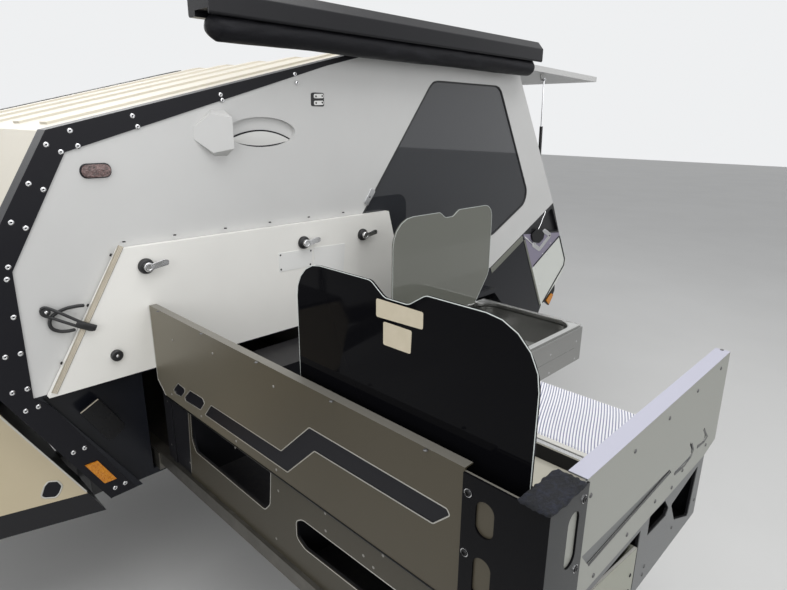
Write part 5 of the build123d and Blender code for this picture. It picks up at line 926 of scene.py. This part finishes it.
def rolled_bag(low, high, rows=260, columns=44):
    """A roll along X: the radius is the box's half height less creases, which are sines of the angle and the
    length with seeded phases, and gathers to a point at both ends over the last fiftieth of the length."""
    middle, half = (low + high) / 2, (high - low) / 2
    s = np.linspace(-1, 1, rows)[:, None]
    turn = np.linspace(0, 2 * np.pi, columns, endpoint=False)[None, :]
    phase = np.random.default_rng(11).uniform(0, 2 * np.pi, (7, 2))
    crease = sum(np.sin((k + 3) * turn + (2 * k + 5) * s + a) * np.sin((4 * k + 7) * s + b)
                 for k, (a, b) in enumerate(phase)) / 5
    gather = np.clip((1 - np.abs(s)) / 0.04, 0, 1) ** 0.4
    reach = half[2] * (0.955 + 0.045 * np.clip(crease, -1, 1)) * gather
    sag = 0.003 * np.sin(7 * s + 0.6) * gather
    return np.stack([middle[0] + half[0] * s + 0 * turn, middle[1] + reach * np.cos(turn),
                     middle[2] + reach * np.sin(turn) - 0.4 * sag], axis=-1)


bag = build("awning_roll", [skin(rolled_bag(bag_low, bag_high), closed_across=True)], bag_vinyl,
            smooth=180, replaces=["awning_bag"])

# Kitchen door: it hangs open on a long hinge. A ribbed metal strip runs down its front edge, screws hold its
# folded flanges, three cam locks and two blank riveted plates sit on its skin, and a rubber strap ties it.
DOOR_FACE = 825.0


def side_plate(outline, low, high, side=1):
    """A plate on a side plane, from one distance off the middle to another."""
    return slab(on_side(outline, low, side), on_side(outline, high, side))


strip_profile = [(-8, 0), (-8, 1.8), (-6, 2.6), (-4, 1.2), (-2, 2.6), (0, 1.2), (2, 2.6), (4, 1.2), (6, 2.6),
                 (8, 1.8), (8, 0)]
strip_metal = Finish("strip_metal", (0.42, 0.38, 0.31), 0.40, 0.6).worn(0.28, 0.25, 60.0)
strip_path = on_side([(1828, 921), (2055, 1303)], DOOR_FACE)
build("door_edge_strip", [carried(strip_profile, strip_path, LEFT, closed=False)], strip_metal)
FLANGE_MIDDLE, FRONT_FLANGE_FACING = 812, (0.859, 0, 0.513)
TOP_SPOTS = place([2070, 2222, 2394, 2565, 2733, 2899], FLANGE_MIDDLE, 1310)
FRONT_SPOTS = place([1951, 2030, 1862], FLANGE_MIDDLE, [1145.8, 1278.2, 996.7])
flange_screw = lathe([(4.6, -0.3), (4.6, 2.0), (3.4, 3.0), (0.0, 3.2)], 14)
fasteners("door_screws", flange_screw, black_steel, "trim_black", (TOP_SPOTS, UP), (FRONT_SPOTS, FRONT_FLANGE_FACING))
ring_rubber = Finish("ring_rubber", (0.010, 0.010, 0.011), 0.5).worn(0.4, 0.2, 80.0)
LOCKS = ((2118, 1234), (2694, 1224), (2984, 1216))
lock_ring = lathe([(13.2, 0.1), (23, 0.1), (23.6, 4), (22, 11), (18, 14), (13.2, 14)], 28)
fasteners("lock_rings", lock_ring, ring_rubber, "rubber", (on_side(LOCKS, DOOR_FACE), LEFT))
PADDLE = np.array([(6, 8), (50, 17), (62, 13), (60, -2), (8, -9)])
paddles = [side_plate(rounded(PADDLE + lock, 5), DOOR_FACE + 20, DOOR_FACE + 25) for lock in LOCKS]
lock_cap = lathe([(14.3, 12), (14.3, 25.5), (13, 27.5), (8, 27.8), (7.6, 26.6), (0, 26.6)], 24)
build("lock_handles", [copies(lock_cap, on_side(LOCKS, DOOR_FACE), LEFT)] + paddles, bright, bevel=0.0012)
blank_plate = coat("blank_plate", (0.80, 0.80, 0.78), 0.35, peel=0.00005, dust=0.03)
DOOR_PLATES = ([(2584, 1200), (2734, 1196), (2730, 1130), (2584, 1132)],
               [(2740, 1198), (2894, 1193), (2882, 1079), (2742, 1084)])
build("door_plates", [side_plate(rounded(plate, 5), DOOR_FACE - 0.5, DOOR_FACE + 1.2) for plate in DOOR_PLATES],
      blank_plate, bevel=0.0005)
PLATE_SPOTS = on_side([(2592, 1192), (2726, 1189), (2722, 1138), (2592, 1140)], DOOR_FACE + 1.0)
plate_rivet = lathe([(3.6, 0.0), (3.2, 1.0), (1.8, 1.6), (0.0, 1.7)], 12)
fasteners("door_plate_rivets", plate_rivet, black_steel, "trim_black", (PLATE_SPOTS, LEFT))
BUTTON = [(2003, 984)]
stop_button = lathe([(17, 0), (17, 9), (14, 12), (6, 12.5), (5, 11), (0, 11)], 26)
fasteners("door_button", stop_button, ring_rubber, "rubber", (on_side(BUTTON, DOOR_FACE), LEFT))
fasteners("door_button_screw", small_rivet, bright, "steel", (on_side(BUTTON, DOOR_FACE + 10.5), LEFT))


def tube_along(path, across, through, steps=12):
    """An oval tube: each section is a cosine across the path in the side plane and a sine out of it, and it
    closes to a point at both ends."""
    path = np.array(path, float)
    ahead = np.gradient(path, axis=0)
    ahead /= np.linalg.norm(ahead, axis=1)[:, None]
    sideways = np.cross(ahead, LEFT)
    sideways /= np.linalg.norm(sideways, axis=1)[:, None]
    turn = np.linspace(0, 2 * np.pi, steps, endpoint=False)[None, :, None]
    gather = np.ones(len(path))
    gather[0] = gather[-1] = 0.0
    section = sideways[:, None] * np.cos(turn) * across + np.cross(sideways, ahead)[:, None] * np.sin(turn) * through
    return skin(path[:, None] + section * gather[:, None, None], closed_across=True)


def smooth_path(points, steps=64):
    """A path through measured (station, y, height) points, its chord length resampled and softened."""
    points = place(*np.array(points, float).T)
    reach = np.concatenate([[0.0], np.cumsum(np.linalg.norm(np.diff(points, axis=0), axis=1))])
    at = np.linspace(0, reach[-1], steps)
    path = np.stack([np.interp(at, reach, points[:, k]) for k in range(3)], axis=-1)
    for _ in range(6):
        path[1:-1] = 0.25 * path[:-2] + 0.5 * path[1:-1] + 0.25 * path[2:]
    return path


strap_rubber = Finish("strap_rubber", (0.012, 0.012, 0.013), 0.45).worn(0.36, 0.2, 50.0)
strap_rubber.bump(strap_rubber.noise(200.0, 3.0), 0.0003)
STRAP_HALF_THICK = 0.0038
STRAP_RUNS = (([(1834, 806, 1157), (1842, 808, 1164), (1856, 812, 1157), (1880, 824, 1140), (1915, 834, 1113),
                (1945, 835, 1092), (1953, 835, 1084)], 4.2),
              ([(1834, 806, 1150), (1838, 808, 1141), (1858, 812, 1130), (1880, 824, 1117), (1915, 834, 1096),
                (1940, 835, 1082), (1950, 835, 1079)], 4.2),
              ([(1938, 829, 1153), (1920, 824, 1154), (1895, 812, 1150), (1872, 808, 1142), (1856, 808, 1133),
                (1849, 808, 1116), (1853, 808, 1099), (1871, 808, 1087), (1890, 818, 1086), (1906, 829, 1090)], 5.0),
              ([(1908, 834, 1109), (1925, 836, 1099), (1945, 836, 1089), (1956, 836, 1083)], 9.0))
build("door_strap", [tube_along(smooth_path(run), half / 1000, STRAP_HALF_THICK) for run, half in STRAP_RUNS],
      strap_rubber, smooth=180)
STUD = [(1845, 1150)]
strap_stud = lathe([(13, 0), (13, 4), (8, 6), (8, 12), (11, 13), (11, 15), (0, 16)], 24)
fasteners("strap_stud", strap_stud, ring_rubber, "rubber", (on_side(STUD, SIDE_FACE), LEFT))
fasteners("strap_stud_screw", small_rivet, bright, "steel", (on_side(STUD, SIDE_FACE + 15.5), LEFT))

# Side panels: a white two-part latch behind each dish, screwed on a black rubber base, a bright bolt plate
# on the window's front edge, and a black socket cover with a bright top edge in the lower panel.
def side_plates(low, high, radius, *outlines):
    """The same plates on both sides, their corners turned by a radius."""
    return [side_plate(rounded(outline, radius), low, high, side) for side in SIDES for outline in outlines]


LATCH_HALVES = ([(2779, 1739), (2821, 1741), (2822, 1726), (2779, 1724)],
                [(2779, 1716), (2821, 1718), (2821, 1703), (2779, 1701)])
LATCH_BASE = [(2768, 1742), (2782, 1744), (2825, 1744), (2825, 1698), (2768, 1698)]
BOLT_PLATE = [(3034, 1322), (3014, 1336), (3056, 1393), (3080, 1378)]
SOCKET_COVER = [(1887, 831), (1943, 859), (2011, 741), (1959, 705)]
build("side_latches", side_plates(799.5, 805.0, 5, *LATCH_HALVES), blank_plate, bevel=0.001)
build("side_latch_bases", side_plates(799.5, 802.5, 6, LATCH_BASE), ring_rubber, bevel=0.0006)
build("window_bolt_plates", side_plates(801.0, 805.0, 7, BOLT_PLATE), bright, bevel=0.001)
build("socket_covers", side_plates(799.0, 807.0, 14, SOCKET_COVER), black_steel, bevel=0.002)
build("socket_cover_edges", side_trims(edge_bead * 1.4, [(1889, 829), (1941, 856)], 807.0, closed=False), strip_metal)
LATCH_SCREWS = [(2787, 1731), (2815, 1733), (2787, 1709), (2815, 1711)]
BOLT_SCREW = [(3047, 1357)]
latch_screw = lathe([(3.4, 0.0), (3.0, 0.9), (0.0, 1.2)], 12)
fasteners("side_latch_screws", latch_screw, black_steel, "trim_black", *on_sides(LATCH_SCREWS, 804.8),
          *on_sides(BOLT_SCREW, 804.8))

# Tail: painted angle irons frame each side, a bright frame and a black latch close the hatch, a hooked wire
# hangs above it, and an amber lamp sits on a black bracket on the lower corner.
angle_profile = np.array([(-7, -0.5), (-7, 2.2), (-5, 3.0), (5, 3.0), (7, 2.2), (7, -0.5)])
rail_grey = coat("rail_grey", (0.16, 0.165, 0.14), 0.45, peel=0.0002, dust=0.15)
LATCH_FRAME = [(4336, 978), (4412, 940), (4524, 1008), (4451, 1044)]
TAIL_LATCH = [(4300, 1040), (4343, 1066), (4400, 1062), (4440, 1030), (4436, 1002), (4392, 980), (4340, 990),
              (4312, 1010)]
LAMP_BRACKET = [(4500, 604), (4640, 728), (4648, 640), (4592, 553), (4536, 588)]
CORNER_LAMP = [(4548, 594), (4602, 631), (4628, 616), (4584, 561)]
HOOK = ((4377, 803, 1061), (4398, 806, 1092), (4416, 806, 1125), (4430, 806, 1140), (4443, 803, 1160))
TAIL_SCREWS = [(4386, 828), (4457, 906), (4539, 957), (4504, 896), (4448, 716), (4630, 720)]
build("tail_rails", side_trims(angle_profile, [(4242, 1018), (4474, 585)], 801.0, closed=False)
      + side_trims(angle_profile * (2.4, 0.8), [(3934, 893), (4222, 1031)], SIDE_FACE, closed=False),
      rail_grey)
build("tail_edges", side_trims(angle_profile * 0.55, [(4362, 846), (4635, 988)], 800.6, closed=False)
      + side_trims(angle_profile * 0.7, [(4640, 985), (4732, 830), (4728, 790), (4505, 592)], 800.6, closed=False),
      trim_paint)
build("tail_latch_frames", side_trims(angle_profile * (1.8, 0.9), rounded(LATCH_FRAME, 6), 800.6)
      + side_trims(edge_bead * 3.2, [(4238, 1036), (4348, 974)], 802.0, closed=False), bright)
build("tail_latches", side_plates(799.0, 812.0, 10, TAIL_LATCH), black_steel, bevel=0.003)
build("tail_corner_lamps", side_plates(797.0, 804.0, 5, CORNER_LAMP), amber_lens, bevel=0.001)
build("tail_lamp_brackets", [side_plate(LAMP_BRACKET, 786.0, 797.5, side) for side in SIDES], black_steel,
      bevel=0.001)
build("tail_wires", [tube_along(smooth_path([(station, side * y, height) for station, y, height in HOOK]),
                                0.003, 0.003, 8) for side in SIDES], bright, smooth=180)
fasteners("tail_screws", small_rivet, bright, "steel", *on_sides(TAIL_SCREWS, SIDE_FACE))

# Studio: a plain pale floor, a surround that is bright where it is seen, mirrored or looked through, and
# broad soft lamps above, in front and on both sides.
floor_mesh = bpy.data.meshes.new("floor")
FLOOR_HALF = 30.0
floor_points = [(x * FLOOR_HALF, y * FLOOR_HALF, -GROUND / 1000) for x, y in ((-1, -1), (1, -1), (1, 1), (-1, 1))]
floor_mesh.from_pydata(floor_points, [], [(0, 1, 2, 3)])
floor = bpy.data.objects.new("floor", floor_mesh)
bpy.context.scene.collection.objects.link(floor)
concrete = Finish("floor_finish", (0.62, 0.62, 0.61), 0.55)
concrete.clouded((0.58, 0.58, 0.57), (0.66, 0.66, 0.65), 1.2, 6.0)
floor_mesh.materials.append(concrete.material)

world = bpy.data.worlds.new("surround")
bpy.context.scene.world = world
world.use_nodes = True
world_nodes, world_links = world.node_tree.nodes, world.node_tree.links
background = world_nodes["Background"]
background.inputs["Color"].default_value = (0.42, 0.425, 0.435, 1.0)
background.inputs["Strength"].default_value = 1.0
seen = world_nodes.new("ShaderNodeBackground")
seen.inputs["Color"].default_value = (0.86, 0.87, 0.88, 1.0)
seen.inputs["Strength"].default_value = 1.0
light_path = world_nodes.new("ShaderNodeLightPath")
shown = light_path.outputs["Is Camera Ray"]
for ray in ("Is Glossy Ray", "Is Transmission Ray"):
    either = world_nodes.new("ShaderNodeMath")
    either.operation = "MAXIMUM"
    world_links.new(shown, either.inputs[0])
    world_links.new(light_path.outputs[ray], either.inputs[1])
    shown = either.outputs[0]
blend = world_nodes.new("ShaderNodeMixShader")
world_links.new(shown, blend.inputs["Fac"])
world_links.new(background.outputs[0], blend.inputs[1])
world_links.new(seen.outputs[0], blend.inputs[2])
world_links.new(blend.outputs[0], world_nodes["World Output"].inputs["Surface"])

LAMPS = (("lamp_over", (-2.4, 1.6, 4.2), (-2.6, 0.9, 0.3), 4.5, 150.0),
         ("lamp_front", (2.5, 3.6, 2.6), (-2.6, 0.8, 0.5), 3.5, 95.0),
         ("lamp_left", (-3.6, 6.8, 2.4), (-2.8, 0.8, 0.5), 4.0, 75.0),
         ("lamp_right", (-3.0, -6.0, 3.5), (-2.6, 0.0, 0.3), 4.0, 90.0))
for name, where, aim, size, power in LAMPS:
    lamp_data = bpy.data.lights.new(name, "AREA")
    lamp_data.shape = "SQUARE"
    lamp_data.size = size
    lamp_data.energy = power
    back = np.array(where) - np.array(aim)
    back /= np.linalg.norm(back)
    right = np.cross(UP, back)
    right /= np.linalg.norm(right)
    stand(bpy.data.objects.new(name, lamp_data), right, np.cross(back, right), back, where)
